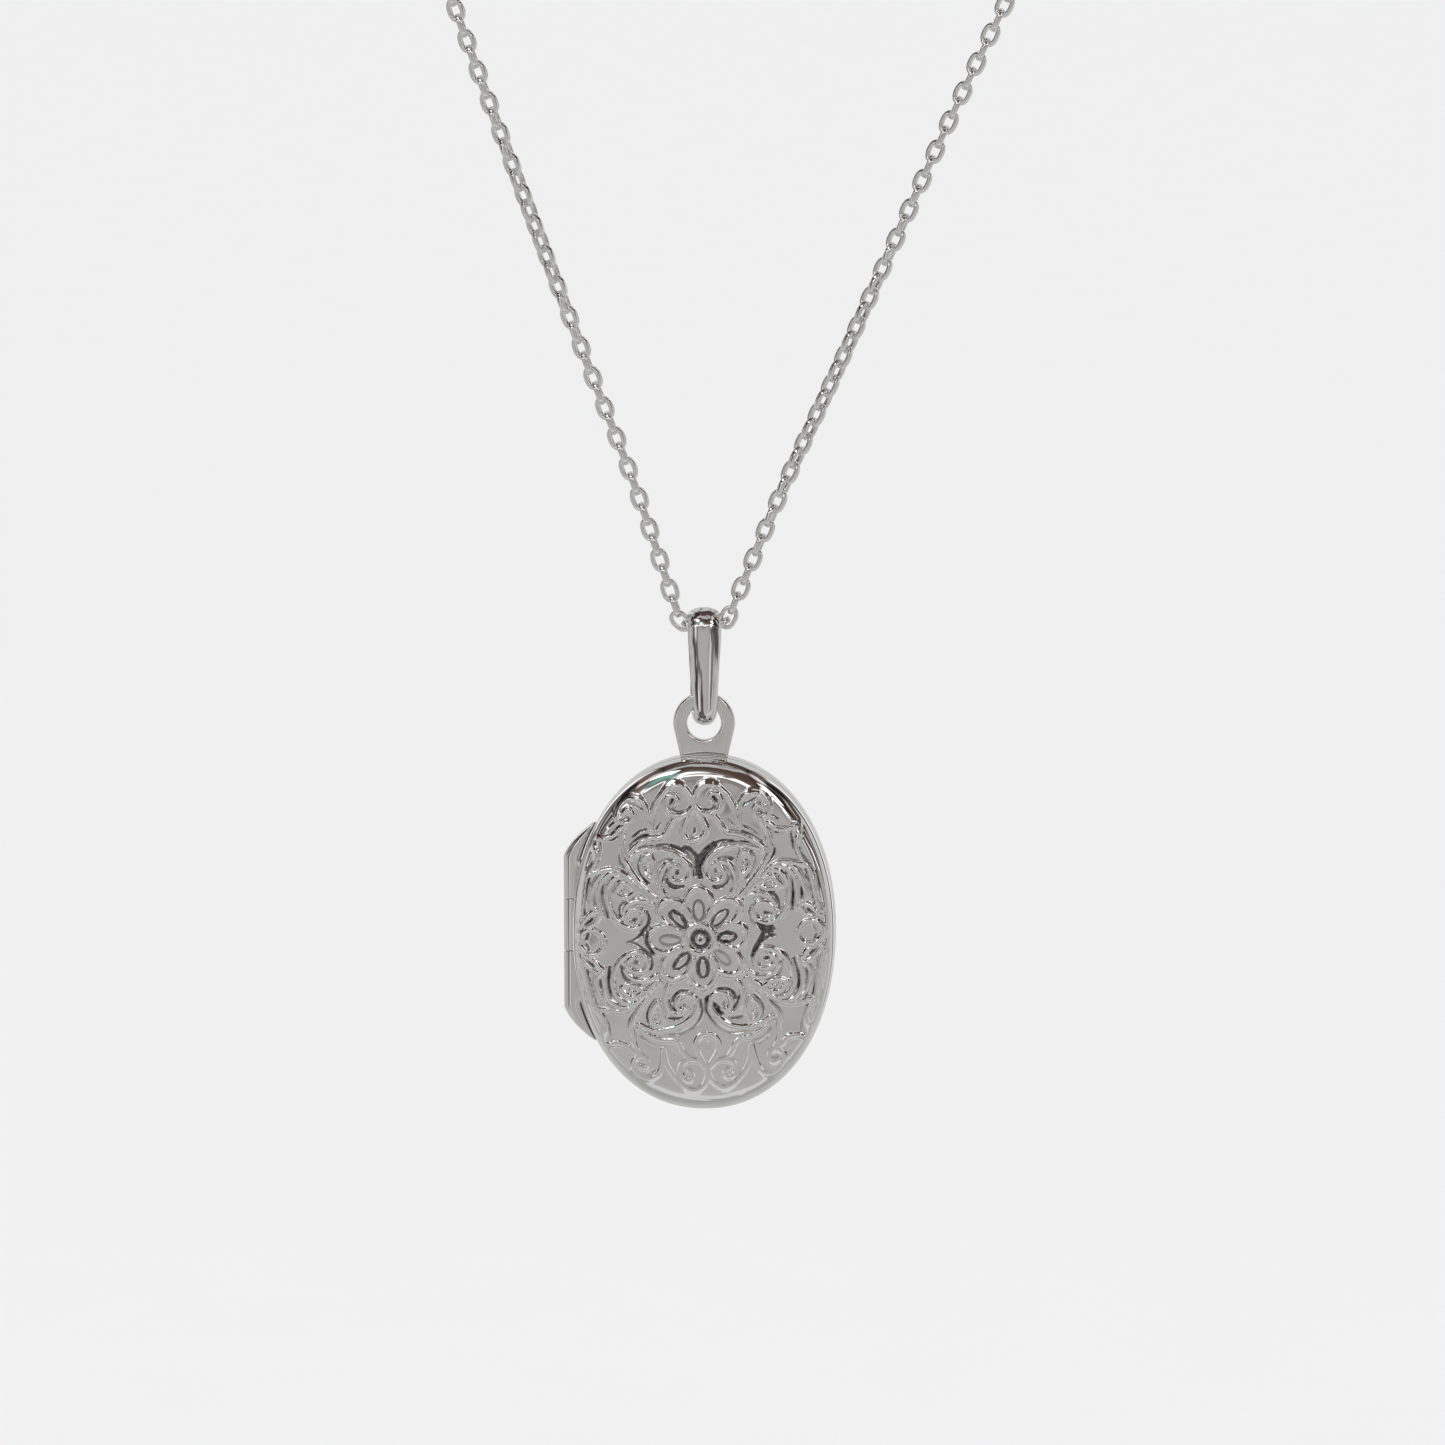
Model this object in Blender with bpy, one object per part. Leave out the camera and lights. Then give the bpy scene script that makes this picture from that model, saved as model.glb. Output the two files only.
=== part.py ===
"""Oval silver locket on a fine cable chain: a hinged case of two shells that holds two small pictures,
a soldered hanging loop, a tapered bail, and the chain's two ends with their ring and spring-ring clasp.

The locket's front looks along -Y, its hinge is on the -X side, and +Z is up. The origin is level with
the rings that hold the chain's two ends, straight above the locket's centre.
"""

import math

import bmesh
import bpy
from mathutils import Vector

MM = 0.001

# The case: two shells that meet at y = 0.
HOLD_HEIGHT = 68.2 * MM  # from the case's centre up to the held ends of the chain
CASE_HALF_WIDTH = 8.55 * MM
CASE_HALF_HEIGHT = 11.6 * MM
OVAL_POWER = 2.12  # 2 is an ellipse; a little more makes the oval fuller
OVAL_SIDES = 56
PARTING_GAP = 0.03 * MM  # each shell's edge stands this far off the parting plane
# Each shell's outside: its straight wall's depth beside the parting plane, how far its rounded shoulder
# reaches in from the sides and from the ends, the depth at the shoulder's top, and the dome above that.
FRONT_OUTSIDE = (0.5 * MM, 0.65 * MM, 1.5 * MM, 1.75 * MM, 0.7 * MM)
BACK_OUTSIDE = (1.2 * MM, 1.0 * MM, 1.0 * MM, 2.0 * MM, 0.25 * MM)
FRONT_DOME_SHARES = (0.12, 0.35, 0.6, 0.8, 1.0)
BACK_DOME_SHARES = (0.6, 0.8, 1.0)  # the back is flat inside the least of these
RIM_WIDTH = 0.5 * MM
FLOOR_INSET = 1.3 * MM
FLOOR_Y = 1.6 * MM
FRONT_FLOOR_DOME = 0.4 * MM

# The ring on the back shell that plugs into the front one, and the two picture stacks.
SNAP_RIM_INSETS = (0.56 * MM, 0.86 * MM)
SNAP_RIM_Y = (-0.5 * MM, 0.98 * MM)
FRAME_OPENING_INSET = 1.95 * MM
FRONT_FRAME_INSET = 0.6 * MM
FRONT_FRAME_Y = (-1.0 * MM, -0.62 * MM)
BACK_FRAME_INSET = 0.92 * MM
BACK_FRAME_Y = (0.35 * MM, 1.0 * MM)
WINDOW_INSET = 1.0 * MM
WINDOW_Y = (1.05 * MM, 1.27 * MM)
PICTURE_INSET = 1.2 * MM
PICTURE_Y = (1.32 * MM, 1.48 * MM)

# The hinge: three knuckles on one pin, on the case's -X edge.
HINGE_X = -8.5 * MM
KNUCKLE_RADIUS = 0.61 * MM
KNUCKLE_SEAT_RADIUS = 0.65 * MM
PIN_RADIUS = 0.22 * MM
PIN_HOLE_RADIUS = 0.26 * MM
PIN_HALF_LENGTH = 4.9 * MM
MIDDLE_KNUCKLE_Z = (-1.2 * MM, 2.2 * MM)
KNUCKLE_GAP = 0.05 * MM
BARREL_END = 4.6 * MM  # where the outer knuckles begin to taper into the case
TAPER_END = 7.2 * MM
TAPER_GAP = 0.05 * MM
TAPER_DEPTH = 0.2 * MM  # half the depth left at the taper's tip
TAPER_WIDTH = 0.2 * MM  # how far the taper's tip stands out

# The hanging loop soldered on the back shell's top.
LOOP_Z = 13.72 * MM
LOOP_RADIUS = 2.0 * MM
LOOP_HOLE_RADIUS = 1.09 * MM
LOOP_Y = (0.12 * MM, 0.78 * MM)
LOOP_FOOT_HALF_WIDTH = 1.55 * MM
LOOP_FOOT_ANGLE = math.radians(-12)
LOOP_BEVEL = 0.15 * MM

# The bail: a tapered hoop, round outside, through the loop and round the chain.
BAIL_Y = 0.45 * MM
BAIL_TOP_Z = 19.85 * MM
BAIL_TOP_RADIUS = 0.97 * MM
BAIL_BOTTOM_RADIUS = 0.62 * MM
BAIL_INSIDE_BOTTOM_Z = 14.33 * MM
BAIL_TOP_WIDTH = 2.1 * MM
BAIL_BOTTOM_WIDTH = 1.64 * MM
BAIL_TOP_CROWN = 0.45 * MM
BAIL_BOTTOM_CROWN = 0.78 * MM
BAIL_EDGE = 0.2 * MM

# The chain, as a plain tube of its links' mean thickness, from its left end to its right end.
CHAIN_RADIUS = 0.5 * MM
CHAIN_POINTS = 84
CHAIN_BEND_RADIUS = 1.9 * MM
CHAIN_LEFT_END = (-16.9, 62.6)
CHAIN_RIGHT_END = (22.3, 66.5)
CHAIN_LEFT = (
    CHAIN_LEFT_END, (-15.88, 59.8), (-13.34, 52.7), (-10.43, 44.8), (-7.46, 36.95), (-4.43, 29.05)
)
CHAIN_RIGHT = (
    (5.1, 29.05), (8.66, 36.95), (12.14, 44.8), (15.67, 52.7), (19.35, 60.5), CHAIN_RIGHT_END
)

# The rings and the clasp on the chain's ends: ring radius, then wire radius.
JOIN_GAP = 0.04 * MM
LEFT_RING = (1.0 * MM, 0.22 * MM)
RIGHT_RING = (1.45 * MM, 0.3 * MM)
CLASP_EYE = (0.62 * MM, 0.2 * MM)
CLASP_RING = (2.3 * MM, 0.5 * MM)
CLASP_BORE = 0.3 * MM
CLASP_MOUTH = (20, 75)  # the open stretch of the clasp's ring, in degrees from the strand's direction
CLASP_BORE_END = 215
CLASP_SLOT = (84, 152)
CLASP_SLOT_HALF_WIDTH = 0.2 * MM
BOLT_RADIUS = 0.25 * MM
BOLT_ANGLES = (22, 150)
KNOB_ANGLE = 90
KNOB_RADIUS = 0.15 * MM
KNOB_LENGTH = 0.75 * MM
ARC_STEP = 10  # degrees between two sections of a bent tube

SILVER = (0.78, 0.78, 0.77)


def clear_scene():
    for thing in list(bpy.data.objects):
        bpy.data.objects.remove(thing, do_unlink=True)


def make_material(name, colour, roughness, metallic, alpha=1.0):
    material = bpy.data.materials.new(name)
    material.use_nodes = True
    shader = material.node_tree.nodes["Principled BSDF"]
    shader.inputs["Base Color"].default_value = (*colour, 1.0)
    shader.inputs["Roughness"].default_value = roughness
    shader.inputs["Metallic"].default_value = metallic
    shader.inputs["Alpha"].default_value = alpha
    return material


def make_axis(name, place, parent=None):
    """An empty on a joint's axis. Every piece that turns with the joint is its child."""
    axis = bpy.data.objects.new(name, None)
    axis.empty_display_size = 2 * MM
    bpy.context.collection.objects.link(axis)
    start = Vector(place)
    if parent:
        axis.parent = parent
        start -= world_place(parent)
    axis.location = start
    return axis


def world_place(thing):
    place = Vector(thing.location)
    while thing.parent:
        thing = thing.parent
        place += thing.location
    return place


def make_solid(name, points, faces, material, axis):
    """An object from world points in the locket's own frame, with its origin on its joint's axis."""
    start = world_place(axis)
    mesh = bpy.data.meshes.new(name)
    mesh.from_pydata([Vector(p) - start for p in points], [], faces)
    shape = bmesh.new()
    shape.from_mesh(mesh)
    bmesh.ops.recalc_face_normals(shape, faces=shape.faces)
    shape.to_mesh(mesh)
    shape.free()
    mesh.materials.append(material)
    solid = bpy.data.objects.new(name, mesh)
    solid.parent = axis
    bpy.context.collection.objects.link(solid)
    return solid


def cut(solid, cutter):
    cutter.hide_render = True
    cutter.display_type = "WIRE"
    modifier = solid.modifiers.new("cut " + cutter.name, "BOOLEAN")
    modifier.operation = "DIFFERENCE"
    modifier.solver = "EXACT"
    modifier.object = cutter


def skin(rings, closed=False):
    """Points and faces of a skin over rings of equally many points, capped at both ends or closed."""
    sides = len(rings[0])
    points = [p for ring in rings for p in ring]
    faces = []
    last = len(rings) if closed else len(rings) - 1
    for i in range(last):
        here, there = i * sides, (i + 1) % len(rings) * sides
        for j in range(sides):
            k = (j + 1) % sides
            faces.append((here + j, here + k, there + k, there + j))
    if not closed:
        faces.append(tuple(range(sides)))
        faces.append(tuple(range((len(rings) - 1) * sides, len(rings) * sides)))
    return points, faces


def down(z):
    """A height above the case's centre, as a height in the world."""
    return z - HOLD_HEIGHT


def powered(value):
    return math.copysign(abs(value) ** (2 / OVAL_POWER), value)


def oval(half_width, half_height, y):
    """A ring of points on the case's kind of oval."""
    turns = [2 * math.pi * i / OVAL_SIDES for i in range(OVAL_SIDES)]
    return [(half_width * powered(math.cos(t)), y, down(half_height * powered(math.sin(t)))) for t in turns]


def inset_oval(inset, y):
    return oval(CASE_HALF_WIDTH - inset, CASE_HALF_HEIGHT - inset, y)


def case_edge_x(z):
    """The outline's half width at a height above the case's centre."""
    share = 1 - (abs(z) / CASE_HALF_HEIGHT) ** OVAL_POWER
    return CASE_HALF_WIDTH * share ** (1 / OVAL_POWER)


def case_edge_z(x):
    share = 1 - (abs(x) / CASE_HALF_WIDTH) ** OVAL_POWER
    return CASE_HALF_HEIGHT * share ** (1 / OVAL_POWER)


def dome_rings(half_width, half_height, side, edge_y, dome, shares):
    """Ovals over a dome that is flat inside the least share, from its middle outwards."""
    flat = min(shares)
    rings = []
    for share in shares:
        rise = dome * (1 - share**2) / (1 - flat**2)
        rings.append(oval(half_width * share, half_height * share, side * (edge_y + rise)))
    return rings


def shell_rings(side, outside, dome_shares, floor_dome):
    """One shell's skin, from the middle of its outside over its edge to the middle of its inside."""
    edge_depth, side_inset, end_inset, shoulder_y, dome = outside
    top = CASE_HALF_WIDTH - side_inset, CASE_HALF_HEIGHT - end_inset
    rings = dome_rings(*top, side, shoulder_y, dome, dome_shares)
    steps = 6
    for i in range(1, steps + 1):
        turn = math.pi / 2 * i / steps
        inset = 1 - math.sin(turn)
        depth = edge_depth + (shoulder_y - edge_depth) * math.cos(turn)
        size = CASE_HALF_WIDTH - side_inset * inset, CASE_HALF_HEIGHT - end_inset * inset
        rings.append(oval(*size, side * depth))
    rings.append(inset_oval(0, side * PARTING_GAP))
    rings.append(inset_oval(RIM_WIDTH, side * PARTING_GAP))
    rings.append(inset_oval(RIM_WIDTH, side * BACK_FRAME_Y[1]))
    rings.append(inset_oval(1.0 * MM, side * 1.5 * MM))
    floor = CASE_HALF_WIDTH - FLOOR_INSET, CASE_HALF_HEIGHT - FLOOR_INSET
    if floor_dome:
        rings += reversed(dome_rings(*floor, side, FLOOR_Y, floor_dome, (0.35, 0.7, 1.0)))
    else:
        rings.append(oval(*floor, side * FLOOR_Y))
    return rings


def cut_knuckle_seat(solid, material, axis):
    """Makes room in a solid for the hinge's barrel."""
    heights = (-TAPER_END, TAPER_END)
    cut(solid, make_rod(solid.name + "_knuckle_seat", HINGE_X, heights, KNUCKLE_SEAT_RADIUS, material, axis))


def make_shell(name, side, outside, dome_shares, floor_dome, material, axis):
    points, faces = skin(shell_rings(side, outside, dome_shares, floor_dome))
    shell = make_solid(name, points, faces, material, axis)
    cut_knuckle_seat(shell, material, axis)
    return shell


def make_oval_plate(name, inset, depths, material, axis):
    points, faces = skin([inset_oval(inset, y) for y in depths])
    return make_solid(name, points, faces, material, axis)


def make_oval_ring(name, insets, depths, material, axis):
    outer, inner = insets
    near, far = depths
    rings = [inset_oval(outer, near), inset_oval(outer, far), inset_oval(inner, far), inset_oval(inner, near)]
    points, faces = skin(rings, closed=True)
    return make_solid(name, points, faces, material, axis)


def circle_at(x, z, radius_x, radius_y, sides=24):
    turns = [2 * math.pi * i / sides for i in range(sides)]
    return [(x + radius_x * math.cos(t), radius_y * math.sin(t), down(z)) for t in turns]


def make_rod(name, x, heights, radius, material, axis):
    """An upright round rod centred on y = 0."""
    points, faces = skin([circle_at(x, z, radius, radius) for z in heights])
    return make_solid(name, points, faces, material, axis)


def knuckle_rings(start, direction):
    """Sections of an outer knuckle: round, then narrowing into the case's outline at its far end."""
    rings = [circle_at(HINGE_X, z, KNUCKLE_RADIUS, KNUCKLE_RADIUS) for z in (start, direction * BARREL_END)]
    steps = 5
    for i in range(1, steps + 1):
        share = i / steps
        z = BARREL_END + (TAPER_END - BARREL_END) * share
        inner = case_edge_x(z) + TAPER_GAP
        proud = 2 * KNUCKLE_RADIUS * (1 - share**2) + TAPER_WIDTH * share
        outer = min(inner + proud, KNUCKLE_RADIUS - HINGE_X)
        depth = TAPER_DEPTH + (KNUCKLE_RADIUS - TAPER_DEPTH) * math.sqrt(1 - share**2)
        rings.append(circle_at(-(inner + outer) / 2, direction * z, (outer - inner) / 2, depth))
    return rings


def make_outer_knuckle(name, direction, material, axis):
    start = MIDDLE_KNUCKLE_Z[1] + KNUCKLE_GAP if direction > 0 else MIDDLE_KNUCKLE_Z[0] - KNUCKLE_GAP
    points, faces = skin(knuckle_rings(start, direction))
    knuckle = make_solid(name, points, faces, material, axis)
    hole_end = direction * (PIN_HALF_LENGTH + KNUCKLE_GAP)
    hole = make_rod(name + "_hole", HINGE_X, (0, hole_end), PIN_HOLE_RADIUS, material, axis)
    cut(knuckle, hole)
    return knuckle


def make_middle_knuckle(name, material, axis):
    knuckle = make_rod(name, HINGE_X, MIDDLE_KNUCKLE_Z, KNUCKLE_RADIUS, material, axis)
    hole_ends = (MIDDLE_KNUCKLE_Z[0] - MM, MIDDLE_KNUCKLE_Z[1] + MM)
    cut(knuckle, make_rod(name + "_hole", HINGE_X, hole_ends, PIN_HOLE_RADIUS, material, axis))
    return knuckle


def loop_outline():
    """The loop's outline in (x, z): most of a circle, and a foot that follows the case's top."""
    outline = []
    steps = 36
    sweep = math.pi - 2 * LOOP_FOOT_ANGLE
    for i in range(steps + 1):
        turn = LOOP_FOOT_ANGLE + sweep * i / steps
        outline.append((LOOP_RADIUS * math.cos(turn), LOOP_Z + LOOP_RADIUS * math.sin(turn)))
    foot_steps = 6
    for i in range(foot_steps + 1):
        x = LOOP_FOOT_HALF_WIDTH * (2 * i / foot_steps - 1)
        outline.append((x, case_edge_z(x) + JOIN_GAP))
    return outline


def make_loop(name, material, axis):
    rings = [[(x, y, down(z)) for x, z in loop_outline()] for y in LOOP_Y]
    points, faces = skin(rings)
    loop = make_solid(name, points, faces, material, axis)
    turns = [2 * math.pi * i / 32 for i in range(32)]
    hole_rings = [
        [(LOOP_HOLE_RADIUS * math.cos(t), y, down(LOOP_Z + LOOP_HOLE_RADIUS * math.sin(t))) for t in turns]
        for y in (LOOP_Y[0] - MM, LOOP_Y[1] + MM)
    ]
    points, faces = skin(hole_rings)
    cut(loop, make_solid(name + "_hole", points, faces, material, axis))
    bevel = loop.modifiers.new("rounded edges", "BEVEL")
    bevel.width = LOOP_BEVEL
    bevel.segments = 2
    bevel.limit_method = "ANGLE"
    bevel.angle_limit = math.radians(50)
    return loop


def bail_stations():
    """Points of the bail's inside, in (y, z), each with the direction that points out of the hoop there."""
    bottom_z = BAIL_INSIDE_BOTTOM_Z + BAIL_BOTTOM_RADIUS
    lean = math.asin((BAIL_TOP_RADIUS - BAIL_BOTTOM_RADIUS) / (BAIL_TOP_Z - bottom_z))
    side = math.pi / 2 + lean
    stations = []

    def add(z, radius, turn):
        out = (math.sin(turn), math.cos(turn))
        stations.append(((BAIL_Y + radius * out[0], z + radius * out[1]), out))

    top_steps, bottom_steps = 12, 8
    for i in range(top_steps + 1):
        add(BAIL_TOP_Z, BAIL_TOP_RADIUS, -side + 2 * side * i / top_steps)
    for i in range(bottom_steps + 1):
        add(bottom_z, BAIL_BOTTOM_RADIUS, side + 2 * (math.pi - side) * i / bottom_steps)
    return stations


def make_bail(name, material, axis):
    """A hoop whose section is flat inside and round outside, wide and thin above, narrow and thick below."""
    rings = []
    for (y, z), (out_y, out_z) in bail_stations():
        drop = (BAIL_TOP_Z - z) / (BAIL_TOP_Z - BAIL_INSIDE_BOTTOM_Z)
        low = min(max(drop, 0.0), 1.0)
        half_width = (BAIL_TOP_WIDTH + (BAIL_BOTTOM_WIDTH - BAIL_TOP_WIDTH) * low) / 2
        crown = BAIL_TOP_CROWN + (BAIL_BOTTOM_CROWN - BAIL_TOP_CROWN) * low
        section = [(-half_width, 0), (half_width, 0)]
        for i in range(7):
            across = math.cos(math.pi * i / 6)
            thick = BAIL_EDGE + (crown - BAIL_EDGE) * math.sqrt(1 - across**2)
            section.append((half_width * across, thick))
        rings.append([(x, y + thick * out_y, down(z + thick * out_z)) for x, thick in section])
    points, faces = skin(rings, closed=True)
    return make_solid(name, points, faces, material, axis)


def smooth_route(points, count):
    """Evenly spaced points of a Catmull-Rom curve through the given ones."""
    ends = [2 * points[0] - points[1], *points, 2 * points[-1] - points[-2]]
    fine = []
    steps = 40
    for a, b, c, d in zip(ends, ends[1:], ends[2:], ends[3:]):
        for i in range(steps):
            t = i / steps
            bend = (2 * a - 5 * b + 4 * c - d) * t**2 + (3 * b - a - 3 * c + d) * t**3
            fine.append(0.5 * (2 * b + (c - a) * t + bend))
    fine.append(points[-1])
    lengths = [0.0]
    for here, there in zip(fine, fine[1:]):
        lengths.append(lengths[-1] + (there - here).length)
    route = []
    i = 0
    for k in range(count):
        wanted = lengths[-1] * k / (count - 1)
        while i < len(fine) - 2 and lengths[i + 1] < wanted:
            i += 1
        share = (wanted - lengths[i]) / (lengths[i + 1] - lengths[i])
        route.append(fine[i].lerp(fine[i + 1], share))
    return route


def chain_guide():
    """The chain's route: down the left strand, round under the bail's top, and up the right strand."""
    left_lean, right_lean = math.radians(66), math.radians(64)
    centre_z = BAIL_TOP_Z + CHAIN_BEND_RADIUS
    bend = []
    steps = 6
    for i in range(steps + 1):
        turn = -left_lean + (left_lean + right_lean) * i / steps
        bend.append((CHAIN_BEND_RADIUS * math.sin(turn), centre_z - CHAIN_BEND_RADIUS * math.cos(turn)))
    strands = [(x * MM, z * MM) for x, z in CHAIN_LEFT], [(x * MM, z * MM) for x, z in CHAIN_RIGHT]
    return [Vector((x, BAIL_Y, down(z))) for x, z in [*strands[0], *bend, *strands[1]]]


def make_chain(name, material, axis):
    start = world_place(axis)
    curve = bpy.data.curves.new(name, "CURVE")
    curve.dimensions = "3D"
    curve.bevel_depth = CHAIN_RADIUS
    curve.bevel_resolution = 2
    curve.use_fill_caps = True
    route = smooth_route(chain_guide(), CHAIN_POINTS)
    spline = curve.splines.new("POLY")
    spline.points.add(len(route) - 1)
    for point, place in zip(spline.points, route):
        point.co = (*(place - start), 1.0)
    curve.materials.append(material)
    chain = bpy.data.objects.new(name, curve)
    chain.parent = axis
    bpy.context.collection.objects.link(chain)
    return chain


def bent_tube_rings(centre, ring_radius, wire_radius, along, normal, angles, sides=12):
    """Sections of a tube bent round a centre. Angles are in degrees, from along towards normal x along."""
    across = normal.cross(along)
    first, last = angles
    steps = max(2, round(abs(last - first) / ARC_STEP))
    closed = abs(last - first) == 360
    rings = []
    for i in range(steps if closed else steps + 1):
        turn = math.radians(first + (last - first) * i / steps)
        out = along * math.cos(turn) + across * math.sin(turn)
        ring = []
        for j in range(sides):
            spin = 2 * math.pi * j / sides
            spoke = out * math.cos(spin) + normal * math.sin(spin)
            ring.append(centre + out * ring_radius + spoke * wire_radius)
        rings.append(ring)
    return rings, closed


def make_bent_tube(name, centre, radii, along, normal, angles, material, axis):
    rings, closed = bent_tube_rings(centre, radii[0], radii[1], along, normal, angles)
    points, faces = skin(rings, closed)
    return make_solid(name, points, faces, material, axis)


def make_clasp_body(name, centre, along, normal, material, axis):
    """The clasp's ring: open at its mouth, bored for the bolt, and slotted for the bolt's knob."""
    mouth_start, mouth_end = CLASP_MOUTH
    body_angles = (mouth_end, 360 + mouth_start)
    body = make_bent_tube(name, centre, CLASP_RING, along, normal, body_angles, material, axis)
    bore_angles = (mouth_end - ARC_STEP, CLASP_BORE_END)
    bore_radii = (CLASP_RING[0], CLASP_BORE)
    cut(body, make_bent_tube(name + "_bore", centre, bore_radii, along, normal, bore_angles, material, axis))
    across = normal.cross(along)
    sections = []
    steps = 8
    for i in range(steps + 1):
        turn = math.radians(CLASP_SLOT[0] + (CLASP_SLOT[1] - CLASP_SLOT[0]) * i / steps)
        out = along * math.cos(turn) + across * math.sin(turn)
        near, far = CLASP_RING[0], CLASP_RING[0] + 2 * CLASP_RING[1]
        corners = ((near, -1), (far, -1), (far, 1), (near, 1))
        sections.append([centre + out * r + normal * side * CLASP_SLOT_HALF_WIDTH for r, side in corners])
    points, faces = skin(sections)
    cut(body, make_solid(name + "_slot", points, faces, material, axis))
    return body


def make_clasp_bolt(name, centre, along, normal, material, axis):
    """The clasp's sliding bolt, bent like its ring, and the knob that a thumb draws it back with."""
    radii = (CLASP_RING[0], BOLT_RADIUS)
    bolt = make_bent_tube(name, centre, radii, along, normal, BOLT_ANGLES, material, axis)
    turn = math.radians(KNOB_ANGLE)
    across = normal.cross(along)
    out = along * math.cos(turn) + across * math.sin(turn)
    sideways = out.cross(normal)
    rings = []
    for reach in (CLASP_RING[0] + BOLT_RADIUS / 2, CLASP_RING[0] + CLASP_RING[1] + KNOB_LENGTH / 2):
        spins = [2 * math.pi * i / 12 for i in range(12)]
        rings.append(
            [centre + out * reach + KNOB_RADIUS * (sideways * math.cos(s) + normal * math.sin(s)) for s in spins]
        )
    points, faces = skin(rings)
    knob = make_solid(name + "_knob", points, faces, material, axis)
    knob.hide_render = True
    knob.display_type = "WIRE"
    union = bolt.modifiers.new("knob", "BOOLEAN")
    union.operation = "UNION"
    union.solver = "EXACT"
    union.object = knob
    return bolt


def make_left_end(silver, chain_axis):
    """The ring on the chain's left end, and the spring-ring clasp on it."""
    guide = chain_guide()
    end = guide[0]
    up = (guide[0] - guide[1]).normalized()
    front = Vector((0, 1, 0))
    sideways = front.cross(up)
    ring_centre = end + up * (sum(LEFT_RING) + JOIN_GAP)
    make_bent_tube("chain_end_ring_left", ring_centre, LEFT_RING, up, front, (0, 360), silver, chain_axis)
    eye_centre = ring_centre + up * (LEFT_RING[0] - LEFT_RING[1] - CLASP_EYE[1] - JOIN_GAP + CLASP_EYE[0])
    make_bent_tube("clasp_eye", eye_centre, CLASP_EYE, up, sideways, (0, 360), silver, chain_axis)
    clasp_centre = eye_centre + up * (sum(CLASP_EYE) + JOIN_GAP + sum(CLASP_RING))
    make_clasp_body("clasp_body", clasp_centre, up, front, silver, chain_axis)
    bolt_axis = make_axis("clasp_bolt_axis", clasp_centre, chain_axis)
    make_clasp_bolt("clasp_bolt", clasp_centre, up, front, silver, bolt_axis)


def make_right_end(silver, chain_axis):
    guide = chain_guide()
    end = guide[-1]
    up = (guide[-1] - guide[-2]).normalized()
    centre = end + up * (sum(RIGHT_RING) + JOIN_GAP)
    normal = Vector((0, 1, 0))
    make_bent_tube("chain_end_ring_right", centre, RIGHT_RING, up, normal, (0, 360), silver, chain_axis)


def make_case(silver, paper, clear, axis):
    """The back shell and everything fixed to it."""
    make_shell("back_shell", 1, BACK_OUTSIDE, BACK_DOME_SHARES, 0, silver, axis)
    snap_rim = make_oval_ring("back_snap_rim", SNAP_RIM_INSETS, SNAP_RIM_Y, silver, axis)
    cut_knuckle_seat(snap_rim, silver, axis)
    make_oval_ring("back_picture_frame", (BACK_FRAME_INSET, FRAME_OPENING_INSET), BACK_FRAME_Y, silver, axis)
    make_oval_plate("back_window", WINDOW_INSET, WINDOW_Y, clear, axis)
    make_oval_plate("back_picture", PICTURE_INSET, PICTURE_Y, paper, axis)
    make_outer_knuckle("hinge_knuckle_upper", 1, silver, axis)
    make_outer_knuckle("hinge_knuckle_lower", -1, silver, axis)
    make_rod("hinge_pin", HINGE_X, (-PIN_HALF_LENGTH, PIN_HALF_LENGTH), PIN_RADIUS, silver, axis)
    make_loop("hanging_loop", silver, axis)


def make_cover(silver, paper, clear, axis):
    """The front shell and everything that opens with it."""
    make_shell("front_shell", -1, FRONT_OUTSIDE, FRONT_DOME_SHARES, FRONT_FLOOR_DOME, silver, axis)
    frame_insets = (FRONT_FRAME_INSET, FRAME_OPENING_INSET)
    make_oval_ring("front_picture_frame", frame_insets, FRONT_FRAME_Y, silver, axis)
    make_oval_plate("front_window", WINDOW_INSET, [-y for y in WINDOW_Y], clear, axis)
    make_oval_plate("front_picture", PICTURE_INSET, [-y for y in PICTURE_Y], paper, axis)
    make_middle_knuckle("hinge_knuckle_middle", silver, axis)


def main():
    clear_scene()
    silver = make_material("polished_silver", SILVER, 0.14, 1.0)
    chain_silver = make_material("chain_silver", SILVER, 0.2, 1.0)
    paper = make_material("picture_card", (0.86, 0.83, 0.76), 0.8, 0.0)
    clear = make_material("clear_window", (0.95, 0.96, 0.97), 0.05, 0.0, alpha=0.35)
    chain_axis = make_axis("chain_holding_point", (0, 0, 0))
    bail_axis = make_axis("bail_swing_axis", (0, BAIL_Y, down(BAIL_TOP_Z)), chain_axis)
    case_axis = make_axis("locket_swing_axis", (0, BAIL_Y, down(LOOP_Z)), bail_axis)
    cover_axis = make_axis("cover_hinge_axis", (HINGE_X, 0, down(0)), case_axis)
    make_chain("chain_links", chain_silver, chain_axis)
    make_left_end(chain_silver, chain_axis)
    make_right_end(chain_silver, chain_axis)
    make_bail("bail", silver, bail_axis)
    make_case(silver, paper, clear, case_axis)
    make_cover(silver, paper, clear, cover_axis)


main()
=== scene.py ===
"""The looks of an oval silver locket: an embossed front, a polished back, a bail and a fine cable chain.

All lengths are in metres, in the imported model's frame: the front looks along -Y and +Z is up.
Places in the plane of the front are given in millimetres from the case's centre, as (right, up).
"""

import math

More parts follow.
